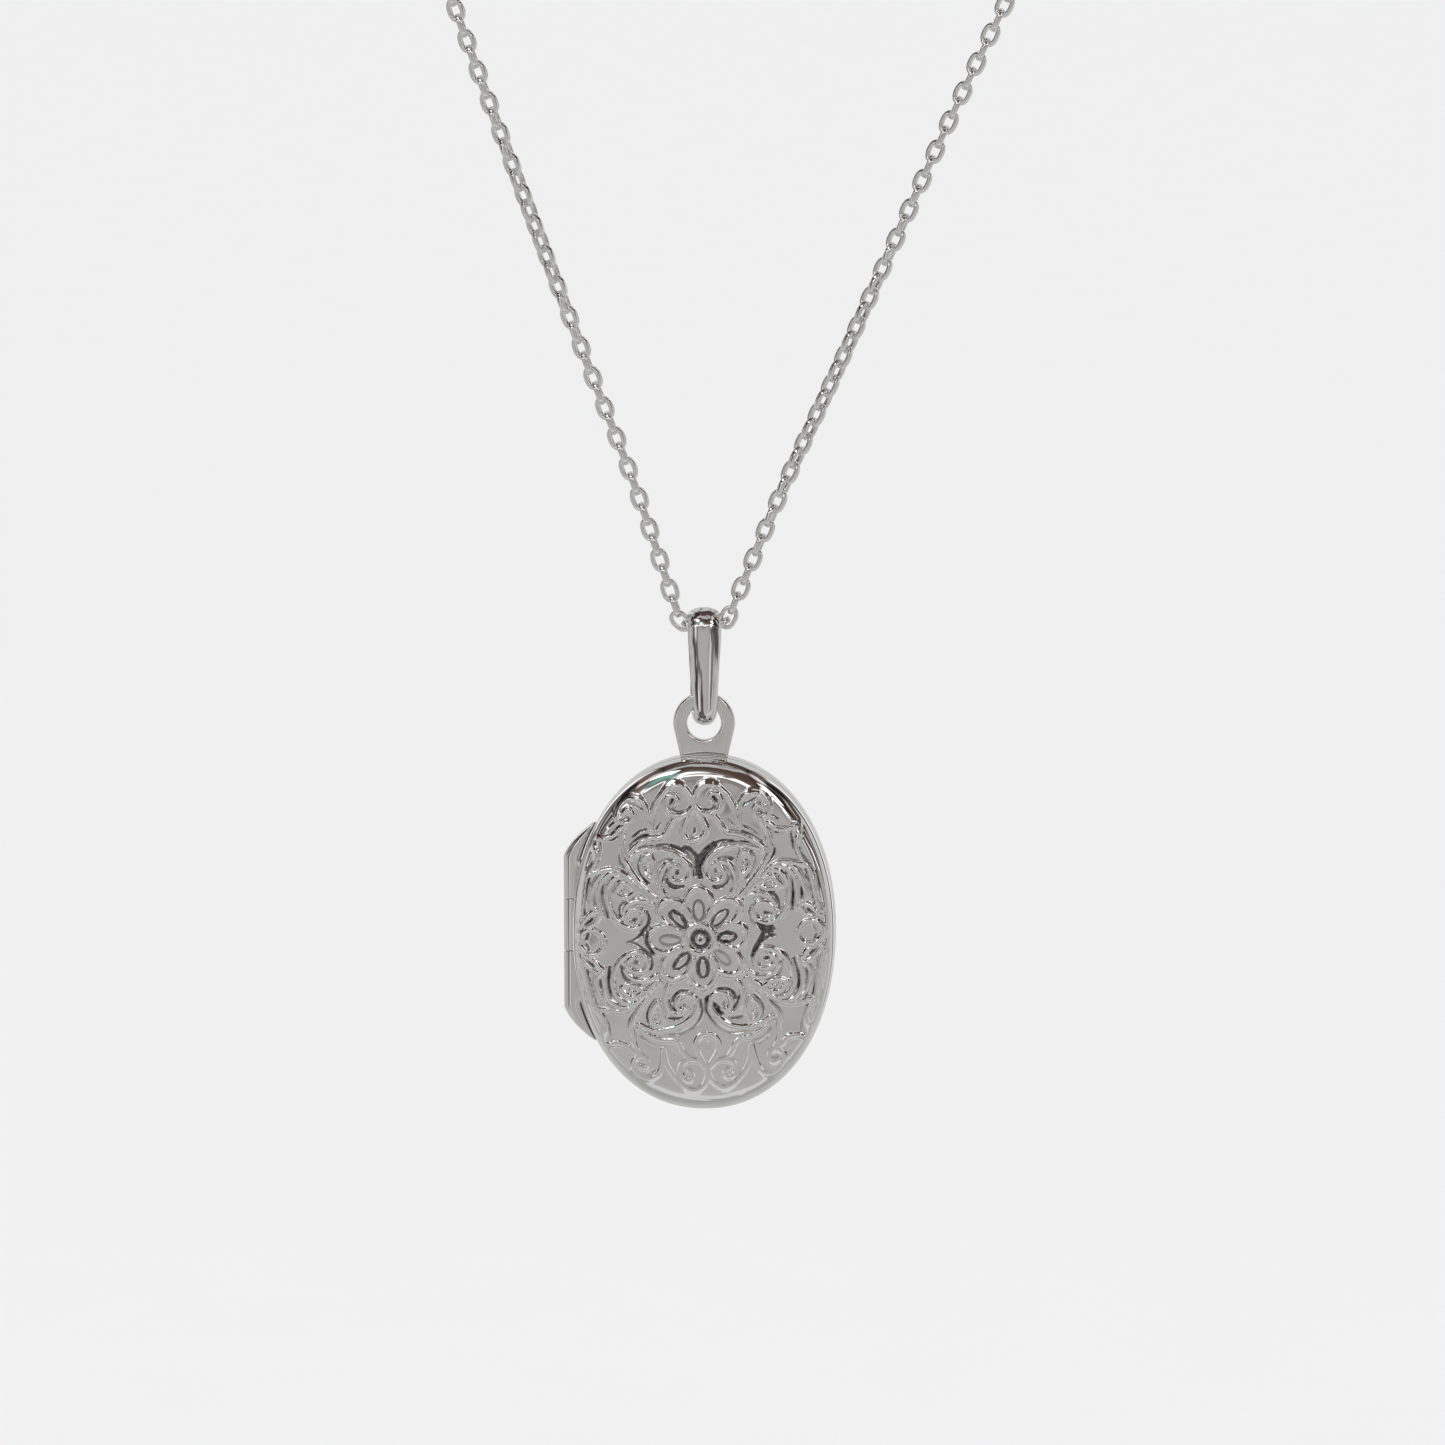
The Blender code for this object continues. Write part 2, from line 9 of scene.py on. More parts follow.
import bmesh
import bpy
import numpy as np
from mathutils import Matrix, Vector


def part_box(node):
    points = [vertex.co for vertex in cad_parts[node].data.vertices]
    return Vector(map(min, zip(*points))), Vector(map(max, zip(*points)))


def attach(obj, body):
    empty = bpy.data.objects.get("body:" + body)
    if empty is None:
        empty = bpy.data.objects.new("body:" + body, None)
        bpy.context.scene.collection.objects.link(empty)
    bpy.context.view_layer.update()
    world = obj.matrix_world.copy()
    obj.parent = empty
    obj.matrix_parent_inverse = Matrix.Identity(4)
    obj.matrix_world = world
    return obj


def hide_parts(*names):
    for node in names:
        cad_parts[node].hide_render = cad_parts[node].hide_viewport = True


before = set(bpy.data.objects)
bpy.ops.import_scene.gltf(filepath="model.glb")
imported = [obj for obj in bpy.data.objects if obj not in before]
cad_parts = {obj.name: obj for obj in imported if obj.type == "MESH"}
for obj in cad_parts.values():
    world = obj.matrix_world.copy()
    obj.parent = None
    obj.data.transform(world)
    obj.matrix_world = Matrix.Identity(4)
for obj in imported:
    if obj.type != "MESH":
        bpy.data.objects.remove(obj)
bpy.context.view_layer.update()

MM = 0.001
PLANE_NORMAL = Vector((0, 1, 0))  # the normal of the plane that the chain and the case lie in

# The case. Its outline and centre come from the frame.
CASE_LOW, CASE_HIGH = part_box("back_shell")
CASE_Z = (CASE_LOW.z + CASE_HIGH.z) / 2
HALF_WIDTH = CASE_HIGH.x
HALF_HEIGHT = (CASE_HIGH.z - CASE_LOW.z) / 2
OVAL_POWER = 2.12
OVAL_SIDES = 240
PARTING_GAP = 0.03 * MM
# Each shell's outside: its straight wall's depth, how far its shoulder reaches in from the sides and from
# the ends, the depth at the shoulder's top, and the dome above that.
FRONT_OUTSIDE = (0.5 * MM, 0.65 * MM, 1.5 * MM, 1.75 * MM, 0.7 * MM)
BACK_OUTSIDE = (1.2 * MM, 1.0 * MM, 1.0 * MM, 2.0 * MM, 0.25 * MM)
BACK_FLAT_SHARE = 0.6
SHOULDER_START = math.radians(7)  # the slope at which the shoulder takes over from the dome
RIM_WIDTH = 0.5 * MM
RIM_ROUNDING = 0.07 * MM
FLOOR_INSET = 1.3 * MM
FLOOR_Y = 1.6 * MM
FRONT_FLOOR_DOME = 0.4 * MM
WALL_TOP_Y = 1.0 * MM
# The inset and depth of two places where the wall curves into the floor.
WALL_FOOT = ((0.62 * MM, 1.25 * MM), (1.0 * MM, 1.5 * MM))

# What lies inside the case.
SNAP_RIM = ((0.56 * MM, 0.86 * MM), (-0.5 * MM, 0.98 * MM))
FRONT_FRAME = ((0.6 * MM, 1.95 * MM), (-1.0 * MM, -0.62 * MM))
BACK_FRAME = ((0.92 * MM, 1.95 * MM), (0.35 * MM, 1.0 * MM))
WINDOW = (1.0 * MM, (1.05 * MM, 1.27 * MM))
PICTURE = (1.2 * MM, (1.32 * MM, 1.48 * MM))

# The hinge.
HINGE_X = -8.5 * MM
KNUCKLE_RADIUS = 0.61 * MM
SEAT_RADIUS = 0.65 * MM
PIN_RADIUS = 0.22 * MM
PIN_HOLE_RADIUS = 0.26 * MM
PIN_HALF_LENGTH = 4.9 * MM
MIDDLE_KNUCKLE = (-1.2 * MM, 2.2 * MM)
KNUCKLE_GAP = 0.05 * MM
KNUCKLE_ROUNDING = 0.05 * MM
BARREL_END = 4.6 * MM
TAPER_END = 7.2 * MM
TAPER_GAP = 0.05 * MM
TAPER_TIP = 0.2 * MM

# The hanging loop and the bail.
LOOP_Z = 13.72 * MM
LOOP_RADIUS = 2.0 * MM
LOOP_HOLE_RADIUS = 1.09 * MM
LOOP_Y = (0.12 * MM, 0.78 * MM)
LOOP_FOOT_HALF_WIDTH = 1.55 * MM
LOOP_FOOT_ANGLE = math.radians(-12)
LOOP_ROUNDING = 0.26 * MM
BAIL_Y = 0.45 * MM
BAIL_TOP = (19.85 * MM, 0.97 * MM)  # height and inside radius of the upper bend, then of the lower one
BAIL_BOTTOM = (14.95 * MM, 0.62 * MM)
BAIL_WIDTHS = (2.1 * MM, 1.48 * MM)  # at the top, then at the bottom, as in the next two
BAIL_CROWNS = (0.45 * MM, 0.78 * MM)
BAIL_EDGES = (-0.12 * MM, 0.2 * MM)  # how far out the strap's edges lie: they curl in at the top
BAIL_THICKNESS = 0.2 * MM
BAIL_TWIST = math.radians(8)

# The chain's route, in millimetres above and beside the case's centre, and its links.
CHAIN_BEND_RADIUS = 1.9
CHAIN_LEANS = (math.radians(66), math.radians(64))
CHAIN_LEFT = [(-16.9, 62.6), (-15.88, 59.8), (-13.34, 52.7), (-10.43, 44.8), (-7.46, 36.95), (-4.43, 29.05)]
CHAIN_RIGHT = [(5.1, 29.05), (8.66, 36.95), (12.14, 44.8), (15.67, 52.7), (19.35, 60.5), (22.3, 66.5)]
ROUTE_POINTS = 240
LINK_PITCH = 1.034 * MM
LINK_WIDTH = 1.2 * MM
WIRE = 0.28 * MM  # the wire's thickness in the link's plane
WIRE_DEPTH = 0.4 * MM  # and through it
LINK_SLACK = 0.02 * MM
LINK_SQUARENESS = 2.35
LINK_TURN = math.radians(25)  # how far the face-on links turn away from the middle
LINK_TURN_REACH = 3 * MM
# Where each strand is twisted: its side, the height above the case's centre, the reach and the angle.
TWISTS = ((-1, 46 * MM, 6 * MM, math.radians(-38)), (1, 36 * MM, 9 * MM, math.radians(42)))
LINKS_BY_THE_BAIL = 1.57 * MM  # how far beside the bail's middle the last face-on links hang

JOIN_GAP = 0.04 * MM  # between pieces that touch or are soldered
TUBE_STEP = 4  # degrees of bend to each step of a bent tube

# The rings and the clasp: ring radius, then wire radius.
LEFT_RING = (1.0 * MM, 0.22 * MM)
RIGHT_RING = (1.45 * MM, 0.3 * MM)
CLASP_EYE = (0.62 * MM, 0.2 * MM)
CLASP_RING = (2.3 * MM, 0.5 * MM)
CLASP_BORE = 0.3 * MM
CLASP_MOUTH = (20, 75)  # this and the clasp's other angles are in degrees from its eye's far side
CLASP_BORE_END = 215  # the bolt slides in a bore that starts at the mouth
CLASP_SLOT = (84, 152)
CLASP_SLOT_HALF_WIDTH = 0.2 * MM
BOLT_RADIUS = 0.25 * MM
BOLT_ANGLES = (22, 150)
KNOB_ANGLE = 90
KNOB_RADIUS = 0.15 * MM
KNOB_LENGTH = 0.75 * MM

# The embossed front's mesh: cells across and up, and the share of them on the dome.
RELIEF_CELLS = (244, 330)
DOME_SHARE = 0.91
# Its pattern, in millimetres: its flower's place and how far it is turned, and the highest and lowest lines.
PATTERN_TURN = math.radians(3.3)
PATTERN_CENTRE = (-0.1, 0.03)
RIDGE_HEIGHT = 0.2
GROOVE_DEPTH = 0.12

# Colours. In a pair, the material is mottled from the first to the second.
SILVER = ((0.93, 0.925, 0.915), (0.89, 0.885, 0.87))
CHAIN_SILVER = ((0.96, 0.96, 0.955), (0.92, 0.92, 0.91))
STREAKED_SILVER = ((0.94, 0.935, 0.925), (0.2, 0.18, 0.17))
CARD = ((0.86, 0.83, 0.76), (0.76, 0.72, 0.64))
CLEAR_PLASTIC = (0.96, 0.97, 0.97)
# The dark of the embossed hollows: partly patina, partly painted shade.
PATINA_AND_SHADE_COLOUR = (0.06, 0.058, 0.06)
PATINA_AND_SHADE_ROUGHNESS = 0.18  # how much rougher the full patina and painted shade is

# The camera: where it stands, as azimuth and elevation in degrees and distance, and the middle of its view.
CAMERA_PLACE = (2.5, 9.5, 0.467)
CAMERA_LENS = 180  # millimetres
VIEW_CENTRE = Vector((1.21 * MM, 0, CASE_Z + 13.8 * MM))


# ---------------------------------------------------------------- camera

def put_facing(thing, target, azimuth, elevation, distance):
    """Puts a camera or a lamp into the scene, facing its target. Angles are in degrees."""
    turn, rise = math.radians(azimuth), math.radians(elevation)
    flat = math.cos(rise)
    back = Vector((math.sin(turn) * flat, -math.cos(turn) * flat, math.sin(rise)))
    thing.location = target + back * distance
    thing.rotation_euler = (-back).to_track_quat("-Z", "Y").to_euler()
    bpy.context.scene.collection.objects.link(thing)


def make_camera():
    camera = bpy.data.objects.new("camera", bpy.data.cameras.new("camera"))
    put_facing(camera, VIEW_CENTRE, *CAMERA_PLACE)
    camera.data.lens = CAMERA_LENS
    camera.data.clip_start = 0.01
    bpy.context.scene.camera = camera


# ---------------------------------------------------------------- materials

def noise(tree, scale, detail, coordinates="Object", stretch=(1, 1, 1)):
    """A noise texture's value socket, in the piece's own coordinates unless others are named."""
    place = tree.nodes.new("ShaderNodeTexCoord")
    mapping = tree.nodes.new("ShaderNodeMapping")
    mapping.inputs["Scale"].default_value = stretch
    texture = tree.nodes.new("ShaderNodeTexNoise")
    texture.inputs["Scale"].default_value = scale
    texture.inputs["Detail"].default_value = detail
    tree.links.new(place.outputs[coordinates], mapping.inputs["Vector"])
    tree.links.new(mapping.outputs["Vector"], texture.inputs["Vector"])
    return texture.outputs["Fac"]


def remap(tree, value, low, high, clip=(0.3, 0.7)):
    """The value, spread from the clip range to low..high."""
    spread = tree.nodes.new("ShaderNodeMapRange")
    spread.inputs["From Min"].default_value = clip[0]
    spread.inputs["From Max"].default_value = clip[1]
    spread.inputs["To Min"].default_value = low
    spread.inputs["To Max"].default_value = high
    tree.links.new(value, spread.inputs["Value"])
    return spread.outputs["Result"]


def calculate(tree, operation, *values):
    """A math node's value. Each input is a socket or a number."""
    node = tree.nodes.new("ShaderNodeMath")
    node.operation = operation
    for place, value in zip(node.inputs, values):
        if isinstance(value, (int, float)):
            place.default_value = value
        else:
            tree.links.new(value, place)
    return node.outputs["Value"]


def blend_colours(tree, factor, first, second):
    """A colour between two. Each is a socket or a colour."""
    mix = tree.nodes.new("ShaderNodeMix")
    mix.data_type = "RGBA"
    for socket, colour in (("A", first), ("B", second)):
        place = next(s for s in mix.inputs if s.name == socket and s.type == "RGBA")
        if isinstance(colour, tuple):
            place.default_value = (*colour, 1)
        else:
            tree.links.new(colour, place)
    tree.links.new(factor, mix.inputs["Factor"])
    return next(s for s in mix.outputs if s.type == "RGBA")


def start_material(name, **constants):
    """A new material's node tree and shader, with constants on the shader's own sockets."""
    material = bpy.data.materials.new(name)
    material.use_nodes = True
    shader = material.node_tree.nodes["Principled BSDF"]
    for socket, value in constants.items():
        shader.inputs[socket.replace("_", " ")].default_value = value
    return material, material.node_tree, shader


def bump(tree, shader, height, distance):
    node = tree.nodes.new("ShaderNodeBump")
    node.inputs["Strength"].default_value = 1.0
    node.inputs["Distance"].default_value = distance
    tree.links.new(height, node.inputs["Height"])
    tree.links.new(node.outputs["Normal"], shader.inputs["Normal"])


def silver_material(name, shades, roughness, patina_and_shade=False):
    """Polished silver: faint cloudy tarnish, fine rubbing marks, and, where it is embossed, patina and
    painted shade in the hollows.
    """
    material, tree, shader = start_material(name, Metallic=1.0)
    colour = blend_colours(tree, remap(tree, noise(tree, 260, 3), 0, 1), *shades)
    rough = remap(tree, noise(tree, 900, 4), *roughness)
    if patina_and_shade:
        # Patina and painted shade: the attribute darkens the colour and roughens the surface.
        dark = tree.nodes.new("ShaderNodeAttribute")
        dark.attribute_name = "patina_and_shade"
        grain = remap(tree, noise(tree, 4200, 2), 0.75, 1.0)
        depth = calculate(tree, "MULTIPLY", dark.outputs["Fac"], grain)
        colour = blend_colours(tree, depth, colour, PATINA_AND_SHADE_COLOUR)
        rough = calculate(tree, "MULTIPLY_ADD", dark.outputs["Fac"], PATINA_AND_SHADE_ROUGHNESS, rough)
    tree.links.new(colour, shader.inputs["Base Color"])
    tree.links.new(rough, shader.inputs["Roughness"])
    bump(tree, shader, noise(tree, 2600, 2, stretch=(1, 1, 0.18)), 0.0008 * MM)
    return material


def streaked_silver_material():
    """Silver with a few fine dark draw marks along it, as on the bail."""
    material, tree, shader = start_material("streaked_silver", Metallic=1.0)
    marks = noise(tree, 3000, 2, stretch=(1, 1, 0.07))
    share = remap(tree, marks, 0, 1, (0.585, 0.635))
    tree.links.new(blend_colours(tree, share, *STREAKED_SILVER), shader.inputs["Base Color"])
    tree.links.new(remap(tree, marks, 0.06, 0.13), shader.inputs["Roughness"])
    bump(tree, shader, marks, 0.012 * MM)
    return material


def card_material():
    """The blank picture card: matt paper with a fibre grain."""
    material, tree, shader = start_material("picture_card")
    fibres = noise(tree, 2200, 5, stretch=(1, 1, 0.4))
    tree.links.new(blend_colours(tree, remap(tree, fibres, 0, 1), *CARD), shader.inputs["Base Color"])
    tree.links.new(remap(tree, fibres, 0.75, 0.9), shader.inputs["Roughness"])
    bump(tree, shader, fibres, 0.006 * MM)
    return material


def window_material():
    """The clear plastic disc that keeps a picture in its frame."""
    material, tree, shader = start_material("clear_window", Base_Color=(*CLEAR_PLASTIC, 1), IOR=1.49)
    smudges = noise(tree, 420, 3)
    tree.links.new(remap(tree, smudges, 0.02, 0.09), shader.inputs["Roughness"])
    tree.links.new(remap(tree, smudges, 0.1, 0.16), shader.inputs["Alpha"])
    return material


# ---------------------------------------------------------------- shapes

def skin(rings, closed=False):
    """Points and faces of a skin over equally long rings: closed on itself, or capped at both ends."""
    sides = len(rings[0])
    count = len(rings)
    points = np.array(rings, float).reshape(-1, 3)
    start = np.arange(count if closed else count - 1)[:, None] * sides
    there = (start + sides) % (count * sides)
    j = np.arange(sides)[None, :]
    k = (j + 1) % sides
    faces = np.stack([start + j, start + k, there + k, there + j], axis=-1).reshape(-1, 4).tolist()
    if not closed:
        faces.append(list(range(sides)))
        faces.append(list(range((count - 1) * sides, count * sides)))
    return points, faces


def mesh_object(name, shape):
    """An object in the scene with the shape's points and faces, its faces turned outwards."""
    points, faces = shape
    mesh = bpy.data.meshes.new(name)
    mesh.from_pydata(points, [], faces)
    built = bmesh.new()
    built.from_mesh(mesh)
    bmesh.ops.recalc_face_normals(built, faces=built.faces)
    built.to_mesh(mesh)
    built.free()
    thing = bpy.data.objects.new(name, mesh)
    bpy.context.scene.collection.objects.link(thing)
    return thing


def smooth(mesh, sharp=40):
    """Smooth shading, broken where faces meet at more than so many degrees."""
    mesh.shade_smooth()
    mesh.set_sharp_from_angle(angle=math.radians(sharp))


def make_piece(name, shape, material, body, nodes=(), sharp=40):
    """A mesh piece that rides on a body, takes the given material and stands for CAD nodes."""
    piece = mesh_object(name, shape)
    smooth(piece.data, sharp)
    piece.data.materials.append(material)
    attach(piece, body)
    if nodes:
        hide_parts(*nodes)
    return piece


def powered(value):
    return np.copysign(np.abs(value) ** (2 / OVAL_POWER), value)


def oval(half_width, half_height, y):
    """A ring of points on the case's kind of oval."""
    turns = np.arange(OVAL_SIDES) * 2 * math.pi / OVAL_SIDES
    xs = half_width * powered(np.cos(turns))
    zs = CASE_Z + half_height * powered(np.sin(turns))
    return np.stack([xs, np.full(OVAL_SIDES, y), zs], axis=1)


def inset_oval(inset, y):
    return oval(HALF_WIDTH - inset, HALF_HEIGHT - inset, y)


def case_edge_x(z):
    share = 1 - (abs(z) / HALF_HEIGHT) ** OVAL_POWER
    return HALF_WIDTH * share ** (1 / OVAL_POWER)


def case_edge_z(x):
    share = 1 - (abs(x) / HALF_WIDTH) ** OVAL_POWER
    return HALF_HEIGHT * share ** (1 / OVAL_POWER)


def clear_of_hinge(points):
    """Moves what lies in the hinge barrel's seat out to the seat's surface."""
    y = points[:, 1]
    seat = HINGE_X + np.sqrt(np.clip(SEAT_RADIUS**2 - y**2, 0, None))
    inside = (np.abs(y) < SEAT_RADIUS) & (np.abs(points[:, 2] - CASE_Z) < TAPER_END)
    points[:, 0] = np.where(inside, np.maximum(points[:, 0], seat), points[:, 0])
    return points


def rounded_corners(corners, radius, steps=4):
    """A closed outline with every corner rounded by a parabola."""
    rounded = []
    for before, corner, after in zip(corners[-1:] + corners[:-1], corners, corners[1:] + corners[:1]):
        here = Vector(corner)
        to_before = (Vector(before) - here).normalized() * radius
        to_after = (Vector(after) - here).normalized() * radius
        for i in range(steps + 1):
            t = i / steps
            rounded.append(tuple(here + to_before * (1 - t) ** 2 + to_after * t**2))
    return rounded


# ---------------------------------------------------------------- chain, rings and clasp

def smooth_route(points, count):
    """Evenly spaced points of a Catmull-Rom curve through the given ones."""
    ends = [2 * points[0] - points[1], *points, 2 * points[-1] - points[-2]]
    fine = []
    steps = 40
    for a, b, c, d in zip(ends, ends[1:], ends[2:], ends[3:]):
        for i in range(steps):
            t = i / steps
            bend = (2 * a - 5 * b + 4 * c - d) * t**2 + (3 * b - a - 3 * c + d) * t**3
            fine.append(0.5 * (2 * b + (c - a) * t + bend))
    fine.append(points[-1])
    line = np.array(fine)
    lengths = np.concatenate([[0], np.cumsum(np.linalg.norm(np.diff(line, axis=0), axis=1))])
    wanted = np.linspace(0, lengths[-1], count)
    return np.stack([np.interp(wanted, lengths, line[:, i]) for i in range(line.shape[1])], axis=1)


def chain_guide():
    """The chain's route: down the left strand, round under the bail's top, and up the right strand."""
    centre_z = BAIL_TOP[0] / MM + CHAIN_BEND_RADIUS
    steps = 6
    bend = []
    for i in range(steps + 1):
        turn = -CHAIN_LEANS[0] + sum(CHAIN_LEANS) * i / steps
        bend.append((CHAIN_BEND_RADIUS * math.sin(turn), centre_z - CHAIN_BEND_RADIUS * math.cos(turn)))
    return [Vector((x * MM, BAIL_Y, CASE_Z + z * MM)) for x, z in [*CHAIN_LEFT, *bend, *CHAIN_RIGHT]]


def link_places(route):
    """How far along the route each link's middle lies: the ends, and two links beside the bail, are given."""
    steps = np.linalg.norm(np.diff(route, axis=0), axis=1)
    along = np.concatenate([[0], np.cumsum(steps)])
    beside = [along[np.argmin(np.abs(route[:, 0] - side * LINKS_BY_THE_BAIL))] for side in (-1, 1)]
    left_count = nearest_odd(beside[0] / LINK_PITCH)
    right_count = nearest_odd((along[-1] - beside[1]) / LINK_PITCH)
    between = 2 * round((beside[1] - beside[0]) / LINK_PITCH / 2)
    numbers = [0, left_count, left_count + between, left_count + between + right_count]
    places = np.interp(np.arange(numbers[-1] + 1), numbers, [0, *beside, along[-1]])
    behind, centres, ahead = (
        np.stack([np.interp(places + shift, along, route[:, i]) for i in range(3)], axis=1)
        for shift in (-WIRE, 0, WIRE)
    )
    tangents = ahead - behind
    return centres, tangents / np.linalg.norm(tangents, axis=1)[:, None]


def nearest_odd(value):
    return 2 * round((value - 1) / 2) + 1


def squarish(turn, half_length, half_width, power):
    """A point on a rounded rectangle."""
    c, s = math.cos(turn), math.sin(turn)
    x = half_length * math.copysign(abs(c) ** (2 / power), c)
    return x, half_width * math.copysign(abs(s) ** (2 / power), s)


def link_shape(length):
    """A link's skin in its own frame: x along the chain, y across the link, z through it."""
    half_length, half_width = (length - WIRE) / 2, (LINK_WIDTH - WIRE) / 2
    section = [squarish(math.pi * (i + 0.5) / 6, WIRE / 2, WIRE_DEPTH / 2, 3.2) for i in range(12)]
    steps = 36
    turns = [2 * math.pi * (i + 0.5) / steps for i in range(steps)]
    line = [Vector((*squarish(turn, half_length, half_width, LINK_SQUARENESS), 0)) for turn in turns]
    rings = []
    for i, middle in enumerate(line):
        ahead = line[(i + 1) % steps] - line[i - 1]
        out = Vector((ahead.y, -ahead.x, 0)).normalized()
        rings.append([middle + out * a + Vector((0, 0, b)) for a, b in section])
    return skin(rings, closed=True)


def make_chain(material):
    guide = chain_guide()
    route = smooth_route([np.array(p) for p in guide], ROUTE_POINTS)
    length = float(np.linalg.norm(np.diff(route, axis=0), axis=1).sum())
    centres, tangents = link_places(route)
    link_points, link_faces = link_shape(LINK_PITCH + 2 * WIRE + LINK_SLACK)
    normal = np.array(PLANE_NORMAL)
    points = []
    faces = []
    for number, (centre, along) in enumerate(zip(centres, tangents)):
        turn = LINK_TURN * math.tanh(centre[0] / LINK_TURN_REACH) * (number % 2)
        for side, height, reach, twist in TWISTS:
            if centre[0] * side > 0:
                turn += (twist - turn) * math.exp(-(((centre[2] - CASE_Z - height) / reach) ** 2))
        level = np.cross(along, normal)
        front = normal * math.cos(turn) - level * math.sin(turn)
        sideways = np.cross(along, front)
        across, through = (sideways, front) if number % 2 else (front, sideways)
        start = number * len(link_points)
        points.append(centre + link_points @ np.array([along, across, through]))
        faces += [[start + corner for corner in face] for face in link_faces]
    shape = (np.concatenate(points), faces)
    chain = make_piece("cable_chain", shape, material, "chain", ["chain_links"], sharp=60)
    return chain, route, length


def turned_section(centre, section, along, normal, angles, steps):
    """A skin of a section, given as (outwards, along the normal), turned round a centre.

    Angles are in degrees, from along towards normal x along.
    """
    across = normal.cross(along)
    first, last = angles
    closed = abs(last - first) == 360
    rings = []
    for i in range(steps if closed else steps + 1):
        turn = math.radians(first + (last - first) * i / steps)
        out = along * math.cos(turn) + across * math.sin(turn)
        rings.append([centre + out * reach + normal * aside for reach, aside in section])
    return skin(rings, closed)


def bent_tube(centre, radii, along, normal, angles, sides=28):
    """A tube bent round a centre: the bend's radius, then the tube's."""
    bend, tube = radii
    spins = [2 * math.pi * j / sides for j in range(sides)]
    section = [(bend + tube * math.cos(s), tube * math.sin(s)) for s in spins]
    steps = max(3, round(abs(angles[1] - angles[0]) / TUBE_STEP))
    return turned_section(centre, section, along, normal, angles, steps)


def cut(piece, shape, name):
    """Cuts a shape out of a piece's mesh."""
    cutter = mesh_object(name, shape)
    modifier = piece.modifiers.new(name, "BOOLEAN")
    modifier.operation = "DIFFERENCE"
    modifier.solver = "EXACT"
    modifier.object = cutter
    bpy.context.view_layer.update()
    seen = piece.evaluated_get(bpy.context.evaluated_depsgraph_get())
    finished = bpy.data.meshes.new_from_object(seen)
    piece.modifiers.clear()
    piece.data = finished
    smooth(finished)
    bpy.data.objects.remove(cutter)


def slot_shape(centre, along, normal):
    """The clasp's slot: a curved block through the outer half of its ring."""
    near, far = CLASP_RING[0], CLASP_RING[0] + 2 * CLASP_RING[1]
    half = CLASP_SLOT_HALF_WIDTH
    section = [(near, -half), (far, -half), (far, half), (near, half)]
    return turned_section(centre, section, along, normal, CLASP_SLOT, 24)


def knob_shape(centre, along, normal):
    """The bolt's thumb knob: a short post with a rounded head."""
    turn = math.radians(KNOB_ANGLE)
    out = along * math.cos(turn) + normal.cross(along) * math.sin(turn)
    sideways = out.cross(normal)
    top = CLASP_RING[0] + CLASP_RING[1] + KNOB_LENGTH / 2
    post = KNOB_RADIUS * 0.8
    profile = [(CLASP_RING[0] + BOLT_RADIUS / 2, post), (top - 2.4 * KNOB_RADIUS, post)]
    steps = 8
    for i in range(steps):
        swing = math.pi * (0.2 + 0.78 * i / (steps - 1))
        reach = top - KNOB_RADIUS - KNOB_RADIUS * math.cos(swing)
        profile.append((reach, KNOB_RADIUS * math.sin(swing) * 1.15))
    spins = [2 * math.pi * i / 24 for i in range(24)]
    rings = [
        [centre + out * reach + (sideways * math.cos(s) + normal * math.sin(s)) * radius for s in spins]
        for reach, radius in profile
    ]
    return skin(rings)


def make_left_end(material):
    guide = chain_guide()
    up = (guide[0] - guide[1]).normalized()
    sideways = PLANE_NORMAL.cross(up)
    ring_centre = guide[0] + up * (sum(LEFT_RING) + JOIN_GAP)
    shape = bent_tube(ring_centre, LEFT_RING, up, PLANE_NORMAL, (0, 360))
    ring = make_piece("end_ring_left", shape, material, "chain", ["chain_end_ring_left"])
    eye_centre = ring_centre + up * (LEFT_RING[0] - LEFT_RING[1] - CLASP_EYE[1] - JOIN_GAP + CLASP_EYE[0])
    shape = bent_tube(eye_centre, CLASP_EYE, up, sideways, (0, 360))
    eye = make_piece("spring_ring_eye", shape, material, "chain", ["clasp_eye"])
    centre = eye_centre + up * (sum(CLASP_EYE) + JOIN_GAP + sum(CLASP_RING))
    body_angles = (CLASP_MOUTH[1], 360 + CLASP_MOUTH[0])
    shape = bent_tube(centre, CLASP_RING, up, PLANE_NORMAL, body_angles)
    body = make_piece("spring_ring_body", shape, material, "chain", ["clasp_body"])
    bore_angles = (CLASP_MOUTH[1] - 10, CLASP_BORE_END)
    shape = bent_tube(centre, (CLASP_RING[0], CLASP_BORE), up, PLANE_NORMAL, bore_angles, sides=20)
    cut(body, shape, "bore")
    cut(body, slot_shape(centre, up, PLANE_NORMAL), "slot")
    shape = bent_tube(centre, (CLASP_RING[0], BOLT_RADIUS), up, PLANE_NORMAL, BOLT_ANGLES)
    make_piece("spring_ring_bolt", shape, material, "clasp_bolt", ["clasp_bolt"])
    make_piece("spring_ring_knob", knob_shape(centre, up, PLANE_NORMAL), material, "clasp_bolt")
    return [ring, eye, body]


def make_right_end(material):
    guide = chain_guide()
    up = (guide[-1] - guide[-2]).normalized()
    centre = guide[-1] + up * (sum(RIGHT_RING) + JOIN_GAP)
    shape = bent_tube(centre, RIGHT_RING, up, PLANE_NORMAL, (0, 360))
    return make_piece("end_ring_right", shape, material, "chain", ["chain_end_ring_right"])


# ---------------------------------------------------------------- the embossed pattern

def path(points):
    """A smooth line of (right, up) places through the given ones."""
    places = [np.array(p, float) for p in points]
    return smooth_route(places, 5 * len(points))


def arc(centre, radius, first, last, steps=16):
    """A round line. Angles are in degrees."""
    turns = np.radians(np.linspace(first, last, steps))
    return np.stack([centre[0] + radius * np.cos(turns), centre[1] + radius * np.sin(turns)], axis=1)


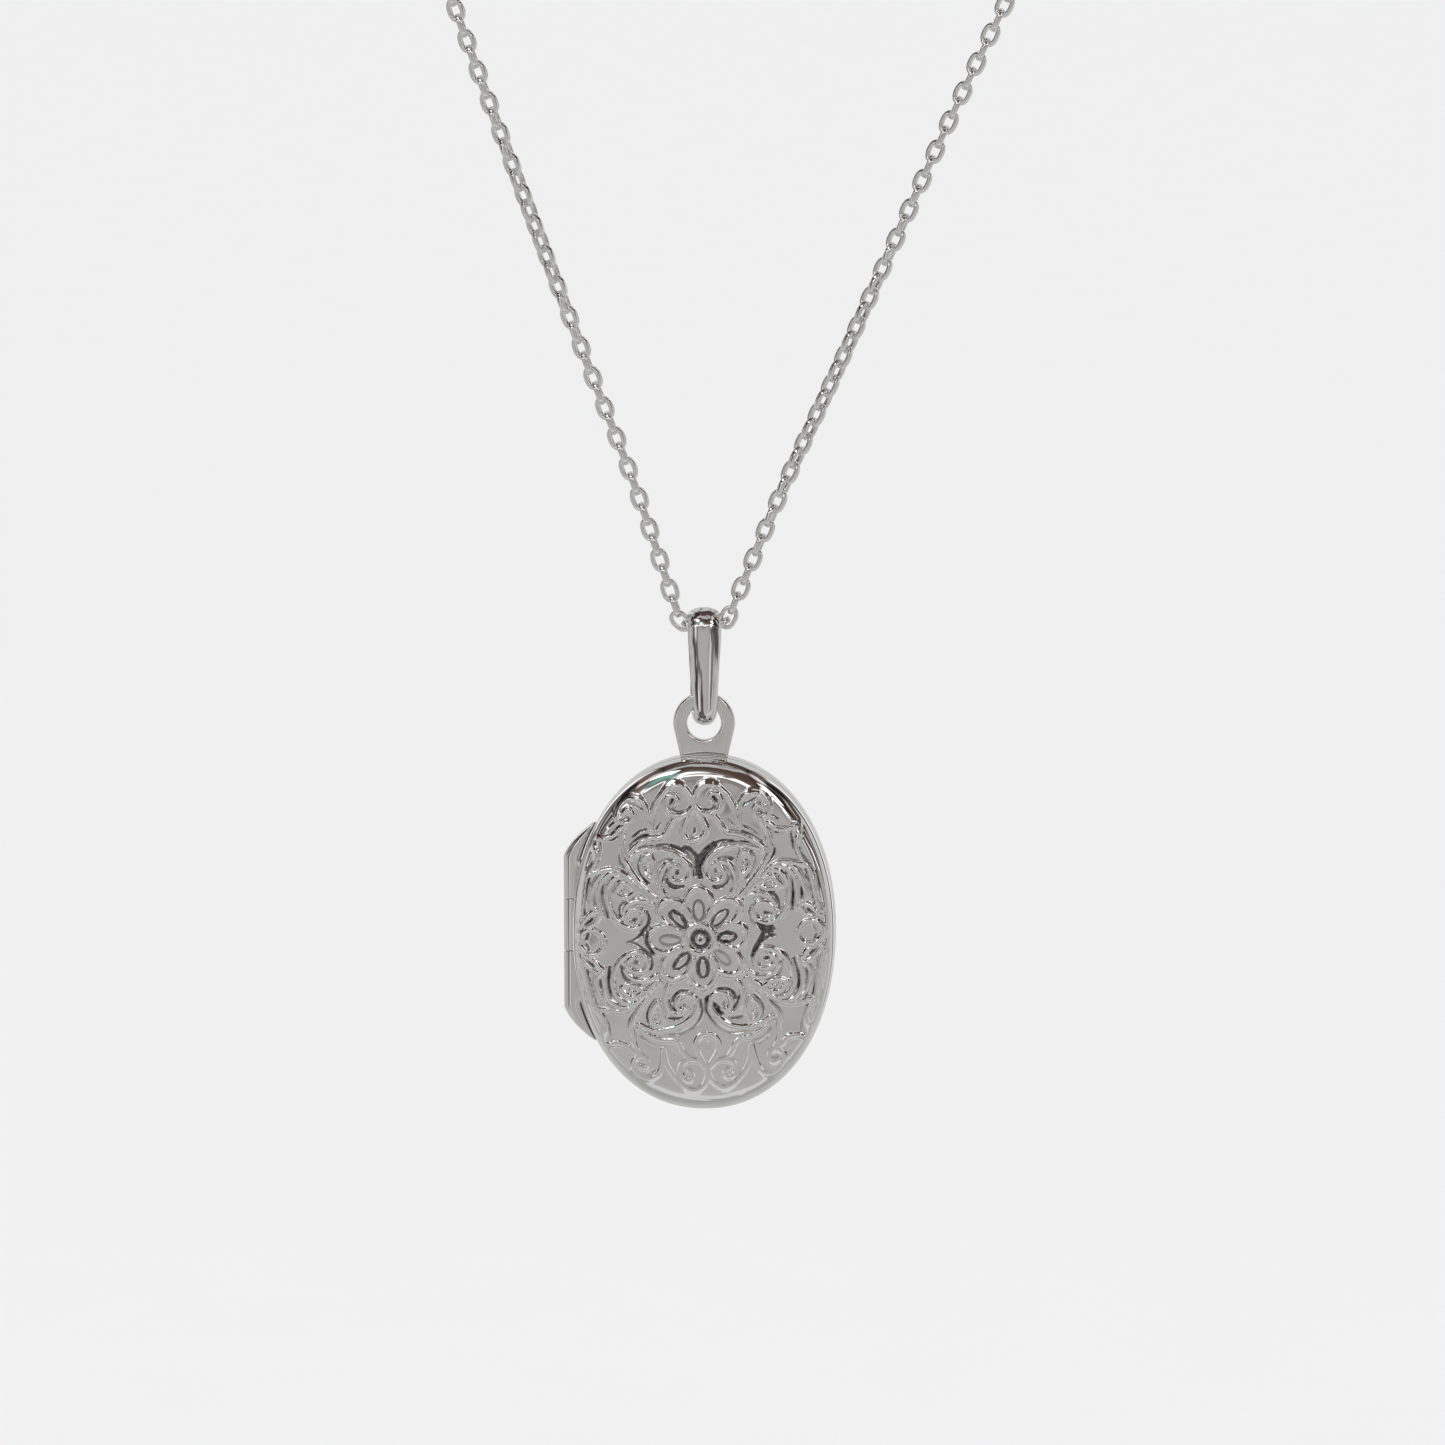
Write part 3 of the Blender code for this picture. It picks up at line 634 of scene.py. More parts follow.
def petal_line(turn, middle, half_length, half_width, opening):
    """A petal's outline as a line round an ellipse that points away from the flower's centre."""
    spins = np.radians(np.linspace(-180 + opening, 180 - opening, 26))
    along = middle + half_length * np.cos(spins)
    aside = half_width * np.sin(spins)
    c, s = math.cos(turn), math.sin(turn)
    return np.stack([along * c - aside * s, along * s + aside * c], axis=1)


# One quarter of the pattern, in millimetres right and up of the flower's centre. The others mirror it.
# Raised ribbons, each a smooth line through a few places.
RIBBONS = {
    "stem": [
        (2.75, 2.75), (3.3, 3.25), (3.95, 4.05), (4.5, 4.85), (4.78, 5.5), (4.72, 6.2), (4.68, 6.9),
        (4.35, 7.55),
    ],
    "star_foot": [(2.95, 2.65), (3.5, 3.15), (4.15, 3.8), (4.85, 4.4), (5.5, 4.65), (6.3, 4.55), (7.1, 4.4)],
    "star_top": [(4.35, 7.55), (4.85, 7.3), (5.2, 6.95), (5.75, 6.78), (6.35, 6.85), (6.85, 7.05)],
    "star_side": [(6.85, 7.05), (6.75, 6.4), (6.5, 5.8), (6.6, 5.1), (7.1, 4.4)],
    "upper_scroll": [
        (4.3, 5.5), (3.9, 5.75), (3.2, 5.97), (2.3, 5.95), (1.5, 5.7), (0.85, 5.2), (0.45, 4.55), (0.6, 3.95),
        (1.1, 3.68), (1.6, 3.85), (1.78, 4.35), (1.5, 4.8), (1.15, 4.7),
    ],
    "upper_scroll_tail": [(1.45, 4.95), (1.95, 4.98), (2.35, 4.5), (2.52, 3.85), (2.4, 3.3), (2.2, 2.95)],
    "upper_leaf_left": [(2.95, 5.65), (2.82, 5.1), (2.86, 4.5), (3.02, 4.0)],
    "upper_leaf_right": [(3.02, 4.0), (3.45, 4.5), (3.6, 5.05), (3.4, 5.5), (2.95, 5.65)],
    "side_scroll": [
        (4.75, 4.2), (5.3, 4.1), (5.75, 3.6), (5.9, 2.9), (5.75, 2.1), (5.35, 1.4), (4.8, 0.95), (4.2, 0.8),
        (3.7, 1.05), (3.5, 1.6), (3.75, 2.05), (4.2, 2.12), (4.68, 1.85), (4.75, 1.4), (4.4, 1.15),
    ],
    "side_scroll_tail": [(2.95, 2.35), (3.4, 2.6), (4.0, 2.68), (4.6, 2.45), (4.95, 1.95)],
    "side_leaf_top": [(3.9, 3.35), (4.4, 3.72), (4.9, 3.8), (5.4, 3.2)],
    "side_leaf_foot": [(3.9, 3.35), (4.4, 3.0), (4.9, 2.95), (5.4, 3.2)],
    "inner_band": [(5.0, 4.5), (5.7, 4.35), (6.25, 3.8), (6.45, 3.1), (6.45, 2.3), (6.3, 1.7)],
    "outer_band": [(6.0, 4.5), (6.55, 3.95), (6.88, 3.3), (7.0, 2.6), (6.78, 2.05)],
    "rim_band": [(7.15, 4.4), (7.36, 3.8), (7.52, 3.0), (7.66, 2.2), (7.85, 1.3)],
    "bud_leaf_top": [(6.4, 2.05), (6.9, 1.92), (7.35, 1.6), (7.8, 1.05)],
    "bud_leaf_foot": [(6.55, 1.8), (6.85, 1.28), (7.3, 0.98)],
    "drop": [(0, 6.38), (0.45, 6.5), (0.74, 6.95), (0.64, 7.5), (0.36, 8.05), (0.1, 8.5), (0, 8.8)],
    "first_arch": [
        (0, 8.8), (0.12, 9.3), (0.45, 9.82), (1.0, 10.08), (1.55, 9.92), (2.0, 9.48), (2.4, 8.9), (2.7, 8.2),
        (2.84, 7.3),
    ],
    "first_curl": [
        (0.12, 8.6), (0.5, 8.22), (1.05, 8.1), (1.6, 8.3), (1.85, 8.8), (1.7, 9.28), (1.3, 9.4), (1.05, 9.1),
        (1.25, 8.82),
    ],
    "second_arch": [
        (2.84, 7.3), (2.96, 8.1), (3.2, 8.8), (3.65, 9.22), (4.2, 9.3), (4.7, 9.0), (4.95, 8.48),
        (4.88, 7.95), (4.5, 7.66), (4.1, 7.75), (3.95, 8.15), (4.2, 8.5), (4.5, 8.35),
    ],
    "wave": [
        (0.75, 8.1), (1.2, 7.95), (1.55, 7.5), (1.8, 7.02), (2.2, 6.76), (2.8, 6.7), (3.4, 6.45), (3.9, 6.15),
        (4.35, 5.75),
    ],
}
# Recesses, dark with patina and painted shade: half width, then the places of their line.
RECESSES = {
    "behind_upper_scroll": (
        0.13, [(0.2, 4.1), (0.14, 4.8), (0.45, 5.5), (1.05, 6.02), (1.75, 6.28), (2.4, 6.25)],
    ),
    "over_upper_scroll": (0.09, [(1.7, 6.0), (2.5, 6.16), (3.3, 6.14), (4.0, 5.9)]),
    "upper_curl": (0.13, [(1.55, 5.2), (1.95, 5.3), (2.4, 5.2)]),
    "upper_curl_side": (0.12, [(1.95, 4.7), (2.2, 4.35), (2.3, 3.9)]),
    "upper_eye": (0.14, [(1.25, 4.5), (1.3, 4.3)]),
    "under_upper_scroll": (0.14, [(1.0, 3.42), (1.45, 3.38), (1.9, 3.65), (2.05, 4.0)]),
    "upper_leaf": (0.12, [(3.05, 5.85), (3.6, 5.5), (3.82, 5.0), (3.62, 4.4), (3.2, 3.8)]),
    "stem": (0.1, [(3.1, 3.02), (3.7, 3.62), (4.35, 4.42), (4.9, 5.1), (5.0, 5.6)]),
    "behind_side_scroll": (
        0.12, [(3.35, 1.95), (3.2, 1.45), (3.4, 0.95), (3.85, 0.5), (4.3, 0.15), (4.8, 0.0)],
    ),
    "over_side_scroll": (0.13, [(4.15, 2.9), (4.7, 2.78), (5.1, 2.3), (5.15, 1.7)]),
    "side_eye": (0.2, [(4.2, 1.45), (4.32, 1.4)]),
    "side_leaf": (0.1, [(3.5, 2.98), (4.0, 3.6), (4.6, 4.0), (5.1, 3.9)]),
    "inner_band": (0.09, [(5.95, 4.15), (6.15, 3.4), (6.17, 2.5), (6.0, 1.6)]),
    "outer_band": (0.09, [(6.35, 4.25), (6.68, 3.6), (6.78, 2.9), (6.72, 2.35)]),
    "rim_band": (0.08, [(7.0, 4.15), (7.25, 3.4), (7.42, 2.5), (7.55, 1.75)]),
    "bud_leaf": (0.1, [(6.98, 1.5), (7.4, 1.12)]),
    "bud_slot": (0.1, [(7.3, 0.5), (7.42, 0.15)]),
    "star_side": (0.11, [(6.25, 6.65), (6.25, 6.0), (6.42, 5.2)]),
    "star_top": (0.08, [(4.9, 7.05), (5.2, 6.72), (5.6, 6.6)]),
    "wave": (0.11, [(3.0, 6.88), (3.6, 6.68), (4.25, 6.2)]),
    "wave_start": (0.1, [(1.35, 8.0), (1.7, 7.6)]),
    "slot_one": (0.1, [(2.15, 7.7), (2.45, 7.32)]),
    "slot_two": (0.1, [(3.15, 7.25), (3.6, 7.05), (4.0, 6.72)]),
    "slot_three": (0.07, [(5.15, 7.8), (5.5, 7.52)]),
    "first_curl": (0.1, [(0.6, 8.42), (1.05, 8.34), (1.4, 8.52)]),
    "first_curl_top": (0.11, [(1.35, 9.12), (1.55, 8.85)]),
    "second_curl": (0.1, [(4.22, 8.1), (4.45, 8.0)]),
    "second_arch": (0.08, [(3.3, 8.5), (3.7, 8.7), (4.1, 8.95)]),
    "drop": (0.17, [(0, 6.95), (0, 7.15)]),
}
LEAF_BEADS = [(3.15, 5.25), (3.22, 4.95), (3.18, 4.65), (3.08, 4.35), (4.35, 3.38), (4.65, 3.42), (4.95, 3.3)]
# Deeper hollows, dark with patina and painted shade, which don't repeat in the four quarters: half width,
# then places.
POOLS = [
    (0.36, [(0.2, 4.2), (0.22, 4.7), (0.3, 5.2)]),
    (0.24, [(0.3, 5.2), (0.75, 5.75), (1.2, 6.05)]),
    (0.18, [(0.1, 5.3), (-0.3, 5.85), (-0.65, 6.0)]),
    (0.26, [(3.8, 0.85), (4.15, 0.4), (4.6, 0.42)]),
    (0.17, [(4.1, 0.2), (3.8, -0.35), (3.5, -0.85), (3.4, -1.3)]),
    (0.3, [(0.35, -4.1), (0.55, -4.5), (0.95, -4.9)]),
    (0.14, [(-3.45, 0.5), (-3.55, -0.1), (-3.2, -0.9)]),
]
# The petals: which way each points, in degrees, and its half length.
PETALS = ((0, 1.02), (45, 1.18), (90, 1.16), (135, 1.16), (180, 1.26), (225, 1.18), (270, 1.18), (315, 1.14))
PETAL_START = 1.02
PETAL_HALF_WIDTH = 0.86
BUTTON_RADIUS = 0.42  # the flower's button, then the rings round it
BUTTON_GROOVE_RADIUS = 0.54
BUTTON_RIM_RADIUS = 0.97
RIBBON_HALF_WIDTH = 0.23
BUD = ((7.05, 0), 0.8)  # the round bud at each side: centre and radius
WEAR_START = 4.8  # how far below the flower the wear begins


def distance_to(line, places):
    """How far each place is from a line of places."""
    nearest = np.full(len(places), np.inf)
    for here, there in zip(line[:-1], line[1:]):
        step = there - here
        share = ((places - here) @ step) / max(step @ step, 1e-12)
        offset = places - here - np.clip(share, 0, 1)[:, None] * step
        nearest = np.minimum(nearest, np.einsum("ij,ij->i", offset, offset))
    return np.sqrt(nearest)


def raised(line, places, half_width, roundness=1.15):
    """1 on the line, falling smoothly to 0 at the half width."""
    near = np.all((places > line.min(0) - half_width) & (places < line.max(0) + half_width), axis=1)
    field = np.zeros(len(places))
    if near.any():
        share = distance_to(line, places[near]) / half_width
        field[near] = np.clip(1 - share**2, 0, None) ** roundness
    return field


def in_petal(turn, places, middle, half_length, half_width):
    """1 at a petal's middle, falling to 0 at its outline."""
    c, s = math.cos(turn), math.sin(turn)
    along = places[:, 0] * c + places[:, 1] * s - middle
    aside = -places[:, 0] * s + places[:, 1] * c
    return np.clip(1 - (along / half_length) ** 2 - (aside / half_width) ** 2, 0, None)


def flower_relief(places, ridges, grooves):
    """Eight petals with outlines and hollow hearts, round a ringed button."""
    far = np.hypot(places[:, 0], places[:, 1])
    puff = np.zeros(len(places))
    for degrees, half_length in PETALS:
        turn = math.radians(degrees)
        middle = PETAL_START + half_length
        outline = petal_line(turn, middle, half_length, PETAL_HALF_WIDTH, 42)
        ridges = np.maximum(ridges, raised(outline, places, RIBBON_HALF_WIDTH) * (far > 0.95))
        heart = petal_line(turn, middle - 0.28, half_length * 0.56, 0.3, 16)
        grooves = np.maximum(grooves, raised(heart, places, 0.15) * (0.62 + 0.3 * math.sin(3 * turn + 1)))
        ridges = ridges * (1 - raised(heart, places, 0.2))
        puff = np.maximum(puff, in_petal(turn, places, middle, half_length, 0.9) ** 0.5)
    ridges = np.maximum(ridges, raised(arc((0, 0), BUTTON_RIM_RADIUS, 0, 360, steps=40), places, 0.24))
    ring = raised(arc((0, 0), BUTTON_GROOVE_RADIUS, 0, 360, steps=30), places, 0.16)
    dot = raised(np.zeros((2, 2)), places, 0.14) * 0.7
    button = np.clip(1 - (far / BUTTON_RADIUS) ** 2, 0, None) ** 0.5
    ridges = np.maximum(ridges * (1 - ring), button * (1 - dot))
    return ridges, np.maximum.reduce([grooves, ring, dot]), puff


def pattern_relief(right, up):
    """Height in millimetres of the pattern at places on the front, and its darkness: patina and painted
    shade.
    """
    c, s = math.cos(PATTERN_TURN), math.sin(PATTERN_TURN)
    right, up = right - PATTERN_CENTRE[0], up - PATTERN_CENTRE[1]
    u = right * c + up * s
    v = up * c - right * s
    # Slow waves bend the lines a little, and quick ones vary the tool's pressure, as in work cut by hand.
    wobble_u = 0.05 * np.sin(1.3 * v + 0.6 * u + 0.4) + 0.025 * np.sin(2.9 * u - 1.7 * v)
    wobble_v = 0.06 * np.sin(1.1 * u - 0.7 * v + 1.9) + 0.025 * np.sin(2.3 * v + 1.1 * u)
    whole = np.stack([u + wobble_u, v + wobble_v], axis=1)
    places = np.abs(whole)
    pressure = 0.9 + 0.07 * np.sin(7.1 * u + 2.3 * v) * np.sin(6.3 * v - 3.1 * u)
    pressure = pressure + 0.03 * np.sin(13 * u + 11 * v)
    depth_share = 0.58 + 0.3 * np.sin(1.7 * u + 0.9 * v + 0.8) * np.sin(1.1 * v - 1.4 * u + 2.1)
    worn = np.clip(1 - (-v - WEAR_START) / 4.5, 0.4, 1)
    ridges = np.zeros(len(places))
    grooves = np.zeros(len(places))
    for line in RIBBONS.values():
        ridges = np.maximum(ridges, raised(path(line), places, RIBBON_HALF_WIDTH))
    ridges = np.maximum(ridges, raised(arc(*BUD, 0, 180), places, 0.21))
    for half_width, line in RECESSES.values():
        grooves = np.maximum(grooves, raised(path(line), places, half_width * 1.15))
    for bead in LEAF_BEADS:
        ridges = np.maximum(ridges, raised(np.array([bead, bead]), places, 0.16) * 0.8)
    grooves = grooves * depth_share
    for half_width, line in POOLS:
        grooves = np.maximum(grooves, raised(path(line), whole, half_width, 0.6))
    grooves = grooves * (1 - ridges**0.5)
    ridges, grooves, puff = flower_relief(whole, ridges, grooves)
    # Painted shade also darkens the foot of the raised lines, here and there.
    patchy = 0.22 + 0.2 * np.sin(1.9 * u - 2.3 * v + 0.7) + 0.1 * np.sin(4.7 * u + 3.9 * v)
    foot = np.clip(1 - np.abs(ridges - 0.14) / 0.14, 0, 1) * np.clip(patchy, 0.05, 1)
    swell = 0.02 * np.sin(1.9 * u + 0.5) * np.sin(2.1 * v + 1.1)
    height = (RIDGE_HEIGHT * ridges * pressure - GROOVE_DEPTH * grooves + 0.07 * puff) * worn + swell
    return height, np.maximum(grooves, foot) * np.clip(1 - (-v - WEAR_START) / 2.2, 0.15, 1)


# ---------------------------------------------------------------- the case

def outside_profile(outside, r, flat_share=0.0):
    """Half width, half height and depth of a shell's outside, r from 0 at its middle to 1 at its wall."""
    edge_depth, side_inset, end_inset, shoulder_y, dome = outside
    top_width, top_height = HALF_WIDTH - side_inset, HALF_HEIGHT - end_inset
    share = np.minimum(r / DOME_SHARE, 1.0)
    rise = np.minimum(1.0, (1 - share**2) / (1 - flat_share**2))
    past_dome = np.clip((r - DOME_SHARE) / (1 - DOME_SHARE), 0, 1)
    turn = SHOULDER_START + (math.pi / 2 - SHOULDER_START) * past_dome
    inset = (1 - np.sin(turn)) / (1 - math.sin(SHOULDER_START))
    depth = edge_depth + (shoulder_y - edge_depth) * np.cos(turn) / math.cos(SHOULDER_START)
    on_dome = r <= DOME_SHARE
    return (
        np.where(on_dome, top_width * share, HALF_WIDTH - side_inset * inset),
        np.where(on_dome, top_height * share, HALF_HEIGHT - end_inset * inset),
        np.where(on_dome, shoulder_y + dome * rise, depth),
    )


def inside_profile(side, floor_dome):
    """Insets and depths of a shell's wall, rim and inside, from its straight wall to its floor."""
    r = RIM_ROUNDING
    profile = [(0, PARTING_GAP + r)]
    for i in range(1, 4):
        turn = math.pi / 2 * i / 3
        profile.append((r * (1 - math.cos(turn)), PARTING_GAP + r * (1 - math.sin(turn))))
    profile += [(RIM_WIDTH - r, PARTING_GAP), (RIM_WIDTH, PARTING_GAP + r), (RIM_WIDTH, WALL_TOP_Y)]
    profile += [*WALL_FOOT, (FLOOR_INSET, FLOOR_Y)]
    rings = [(HALF_WIDTH - inset, HALF_HEIGHT - inset, side * depth) for inset, depth in profile]
    shares = (0.85, 0.7, 0.5, 0.35) if floor_dome else ()
    for share in shares:
        size = (HALF_WIDTH - FLOOR_INSET) * share, (HALF_HEIGHT - FLOOR_INSET) * share
        rings.append((*size, side * (FLOOR_Y + floor_dome * (1 - share**2) / (1 - 0.35**2))))
    return rings


def disc_grid(across, up):
    """A grid of points on the unit disc, from a square one, and the numbers of its rim's points in order."""
    x, y = np.meshgrid(np.linspace(-1, 1, across + 1), np.linspace(-1, 1, up + 1))
    u = (x * np.sqrt(1 - y**2 / 2)).ravel()
    v = (y * np.sqrt(1 - x**2 / 2)).ravel()
    numbers = np.arange(u.size).reshape(up + 1, across + 1)
    rim = [*numbers[0, :-1], *numbers[:-1, -1], *numbers[-1, :0:-1], *numbers[:0:-1, 0]]
    corners = [numbers[:-1, :-1], numbers[:-1, 1:], numbers[1:, 1:], numbers[1:, :-1]]
    faces = np.stack(corners, axis=-1).reshape(-1, 4).tolist()
    return u, v, faces, [int(n) for n in rim]


def front_shell_shape():
    """The front shell's skin: a fine embossed outside on a grid, then its wall, rim and inside."""
    u, v, faces, rim = disc_grid(*RELIEF_CELLS)
    r = np.minimum(np.hypot(u, v), 1.0)
    safe = np.where(r < 1e-9, 1.0, r)
    right, up = powered(u / safe), powered(v / safe)
    width, height, depth = outside_profile(FRONT_OUTSIDE, r)
    x, z = width * right, height * up
    relief, dark_patina_and_shade = pattern_relief(x / MM, z / MM)
    fade = np.clip((1.0 - r) / (1.0 - DOME_SHARE) * 1.6 - 0.6, 0, 1)
    outside = np.stack([x, -(depth + relief * fade * MM), CASE_Z + z], axis=1)
    rings = [outside]
    loop = rim
    total = len(outside)
    for half_width, half_height, y in inside_profile(-1, FRONT_FLOOR_DOME):
        ring = np.stack(
            [half_width * right[rim], np.full(len(rim), y), CASE_Z + half_height * up[rim]], axis=1
        )
        rings.append(ring)
        numbers = list(range(total, total + len(rim)))
        for i in range(len(rim)):
            k = (i + 1) % len(rim)
            faces.append([loop[i], loop[k], numbers[k], numbers[i]])
        loop = numbers
        total += len(rim)
    faces.append(loop)
    points = clear_of_hinge(np.concatenate(rings))
    # The dark of the hollows and of the raised lines' feet: patina and painted shade.
    patina_and_shade = np.zeros(len(points), np.float32)
    patina_and_shade[: len(dark_patina_and_shade)] = np.clip((dark_patina_and_shade * fade - 0.12) / 0.4, 0, 1)
    return (points, faces), patina_and_shade


def back_shell_shape():
    rings = []
    dome = np.linspace(BACK_FLAT_SHARE * DOME_SHARE, DOME_SHARE, 12)
    shoulder = np.linspace(DOME_SHARE, 1, 14)[1:]
    for r in [*dome, *shoulder]:
        half_width, half_height, depth = outside_profile(BACK_OUTSIDE, r, BACK_FLAT_SHARE)
        rings.append(oval(float(half_width), float(half_height), float(depth)))
    rings += [oval(*ring) for ring in inside_profile(1, 0)]
    points, faces = skin(rings)
    return clear_of_hinge(points), faces


def oval_ring_shape(insets, depths, rounding):
    """An oval ring of rounded rectangular section."""
    (outer, inner), (near, far) = insets, depths
    corners = [(outer, near), (outer, far), (inner, far), (inner, near)]
    return skin([inset_oval(*corner) for corner in rounded_corners(corners, rounding)], closed=True)


def oval_plate_shape(inset, depths, rounding):
    """A flat oval plate with bevelled edges."""
    near, far = depths
    edge = [(inset + 4 * rounding, near), (inset + rounding, near), (inset, near + rounding)]
    edge += [(inset, far - rounding), (inset + rounding, far), (inset + 4 * rounding, far)]
    return skin([inset_oval(*place) for place in edge])


def mirrored(depths):
    return tuple(-depth for depth in reversed(depths))


def circle(x, z, radius_x, radius_y, sides=48):
    turns = [2 * math.pi * i / sides for i in range(sides)]
    return [(x + radius_x * math.cos(t), radius_y * math.sin(t), CASE_Z + z) for t in turns]


def middle_knuckle_shape():
    low, high = MIDDLE_KNUCKLE
    corners = [(KNUCKLE_RADIUS, low), (KNUCKLE_RADIUS, high), (PIN_HOLE_RADIUS, high), (PIN_HOLE_RADIUS, low)]
    section = rounded_corners(corners, KNUCKLE_ROUNDING)
    return skin([circle(HINGE_X, z, r, r) for r, z in section], closed=True)


def outer_knuckle_shape(direction):
    """A knuckle: blind pin hole, round barrel, then a tip that narrows into the case's outline."""
    start = MIDDLE_KNUCKLE[1] + KNUCKLE_GAP if direction > 0 else KNUCKLE_GAP - MIDDLE_KNUCKLE[0]
    hole_end = PIN_HALF_LENGTH + KNUCKLE_GAP
    rings = [circle(HINGE_X, direction * z, PIN_HOLE_RADIUS, PIN_HOLE_RADIUS) for z in (hole_end, start)]
    for i in range(5):
        turn = math.pi / 2 * i / 4
        radius = KNUCKLE_RADIUS - KNUCKLE_ROUNDING * (1 - math.sin(turn))
        z = start + KNUCKLE_ROUNDING * (1 - math.cos(turn))
        rings.append(circle(HINGE_X, direction * z, radius, radius))
    rings.append(circle(HINGE_X, direction * BARREL_END, KNUCKLE_RADIUS, KNUCKLE_RADIUS))
    steps = 20
    for i in range(1, steps + 1):
        share = math.sin(math.pi / 2 * i / steps)
        z = BARREL_END + (TAPER_END - BARREL_END) * share
        inner = case_edge_x(z) + TAPER_GAP
        proud = 2 * KNUCKLE_RADIUS * (1 - share**2) + TAPER_TIP * share
        outer = min(inner + proud, KNUCKLE_RADIUS - HINGE_X)
        depth = TAPER_TIP + (KNUCKLE_RADIUS - TAPER_TIP) * math.sqrt(max(0.0, 1 - share**2))
        rings.append(circle(-(inner + outer) / 2, direction * z, (outer - inner) / 2, depth))
    return skin(rings)


def pin_shape():
    rounding = 0.06 * MM
    ends = [(PIN_HALF_LENGTH, PIN_RADIUS - rounding), (PIN_HALF_LENGTH - rounding, PIN_RADIUS)]
    profile = [(-z, r) for z, r in ends] + list(reversed(ends))
    return skin([circle(HINGE_X, z, r, r, sides=24) for z, r in profile])


def loop_outline():
    """The loop's outline in (x, z): most of a circle, and a foot that follows the case's top."""
    sweep = math.pi - 2 * LOOP_FOOT_ANGLE
    turns = [LOOP_FOOT_ANGLE + sweep * i / 90 for i in range(91)]
    outline = [(LOOP_RADIUS * math.cos(t), LOOP_Z + LOOP_RADIUS * math.sin(t)) for t in turns]
    side = outline[-1]
    foot = [LOOP_FOOT_HALF_WIDTH * (2 * i / 30 - 1) for i in range(31)]
    foot = [(x, case_edge_z(x) + JOIN_GAP) for x in foot]
    left = [lerp(side, foot[0], i / 6) for i in range(1, 6)]
    right = [lerp(foot[-1], outline[0], i / 6) for i in range(1, 6)]
    return [*outline, *left, *foot, *right]


def lerp(first, second, share):
    return tuple(a + (b - a) * share for a, b in zip(first, second))


def loop_shape():
    """A flat ring with a foot, its edges rounded, skinned from its hole to its outline and back."""
    near, far = LOOP_Y
    rings = []
    for x, z in loop_outline():
        reach = math.hypot(x, z - LOOP_Z)
        out = (x / reach, (z - LOOP_Z) / reach)
        corners = [(LOOP_HOLE_RADIUS, near), (reach, near), (reach, far), (LOOP_HOLE_RADIUS, far)]
        section = rounded_corners(corners, LOOP_ROUNDING)
        rings.append([(out[0] * r, y, CASE_Z + LOOP_Z + out[1] * r) for r, y in section])
    return skin(rings, closed=True)


def bail_section(half_width, crown, edge):
    """Across the bail's strap: round outside, with edges that may curl in."""
    steps = 18
    shares = [math.cos(math.pi * i / steps) for i in range(steps + 1)]
    section = [(half_width * s, edge + (crown - edge) * math.sqrt(max(0, 1 - s**2))) for s in shares]
    curl = edge - BAIL_THICKNESS
    inner = half_width - BAIL_THICKNESS / 2
    section += [(inner * s, curl * s**2) for s in (-1, -0.75, -0.5, 0, 0.5, 0.75, 1)]
    return section


def bail_shape():
    """A hoop, wide and thin round the chain, narrow and thick through the loop."""
    (top_z, top_radius), (bottom_z, bottom_radius) = BAIL_TOP, BAIL_BOTTOM
    lean = math.asin((top_radius - bottom_radius) / (top_z - bottom_z))
    side = math.pi / 2 + lean
    stations = [(top_z, top_radius, -side + 2 * side * i / 40) for i in range(41)]
    flank = [i / 12 for i in range(1, 12)]
    stations += [lerp((top_z, top_radius, side), (bottom_z, bottom_radius, side), share) for share in flank]
    stations += [(bottom_z, bottom_radius, side + 2 * (math.pi - side) * i / 28) for i in range(29)]
    back_side = 2 * math.pi - side
    stations += [
        lerp((bottom_z, bottom_radius, back_side), (top_z, top_radius, back_side), share) for share in flank
    ]
    low_z = bottom_z - bottom_radius
    rings = []
    for z, radius, turn in stations:
        out_y, out_z = math.sin(turn), math.cos(turn)
        y, z = BAIL_Y + radius * out_y, z + radius * out_z
        drop = min(max((top_z - z) / (top_z - low_z), 0.0), 1.0)
        width, crown, edge = (a + (b - a) * drop for a, b in (BAIL_WIDTHS, BAIL_CROWNS, BAIL_EDGES))
        ring = []
        for x, thick in bail_section(width / 2, crown, edge):
            ahead = y + thick * out_y - BAIL_Y
            c, s = math.cos(BAIL_TWIST), math.sin(BAIL_TWIST)
            ring.append((x * c - ahead * s, BAIL_Y + x * s + ahead * c, CASE_Z + z + thick * out_z))
        rings.append(ring)
    return skin(rings, closed=True)


def make_case(silver, card, window):
    """The back shell and everything fixed to it."""
    def part(name, shape, node, material=silver, slot="polished_silver"):
        return make_piece(name, shape, material, "case", [node])

    part("back_shell_polished", back_shell_shape(), "back_shell")
    part("snap_rim", oval_ring_shape(*SNAP_RIM, 0.05 * MM), "back_snap_rim")
    part("back_frame", oval_ring_shape(*BACK_FRAME, 0.12 * MM), "back_picture_frame")
    part("back_window_disc", oval_plate_shape(*WINDOW, 0.04 * MM), "back_window", window, "clear_window")
    part("back_picture_sheet", oval_plate_shape(*PICTURE, 0.02 * MM), "back_picture", card, "picture_card")
    part("upper_knuckle", outer_knuckle_shape(1), "hinge_knuckle_upper")
    part("lower_knuckle", outer_knuckle_shape(-1), "hinge_knuckle_lower")
    part("pin", pin_shape(), "hinge_pin")
    part("loop", loop_shape(), "hanging_loop")


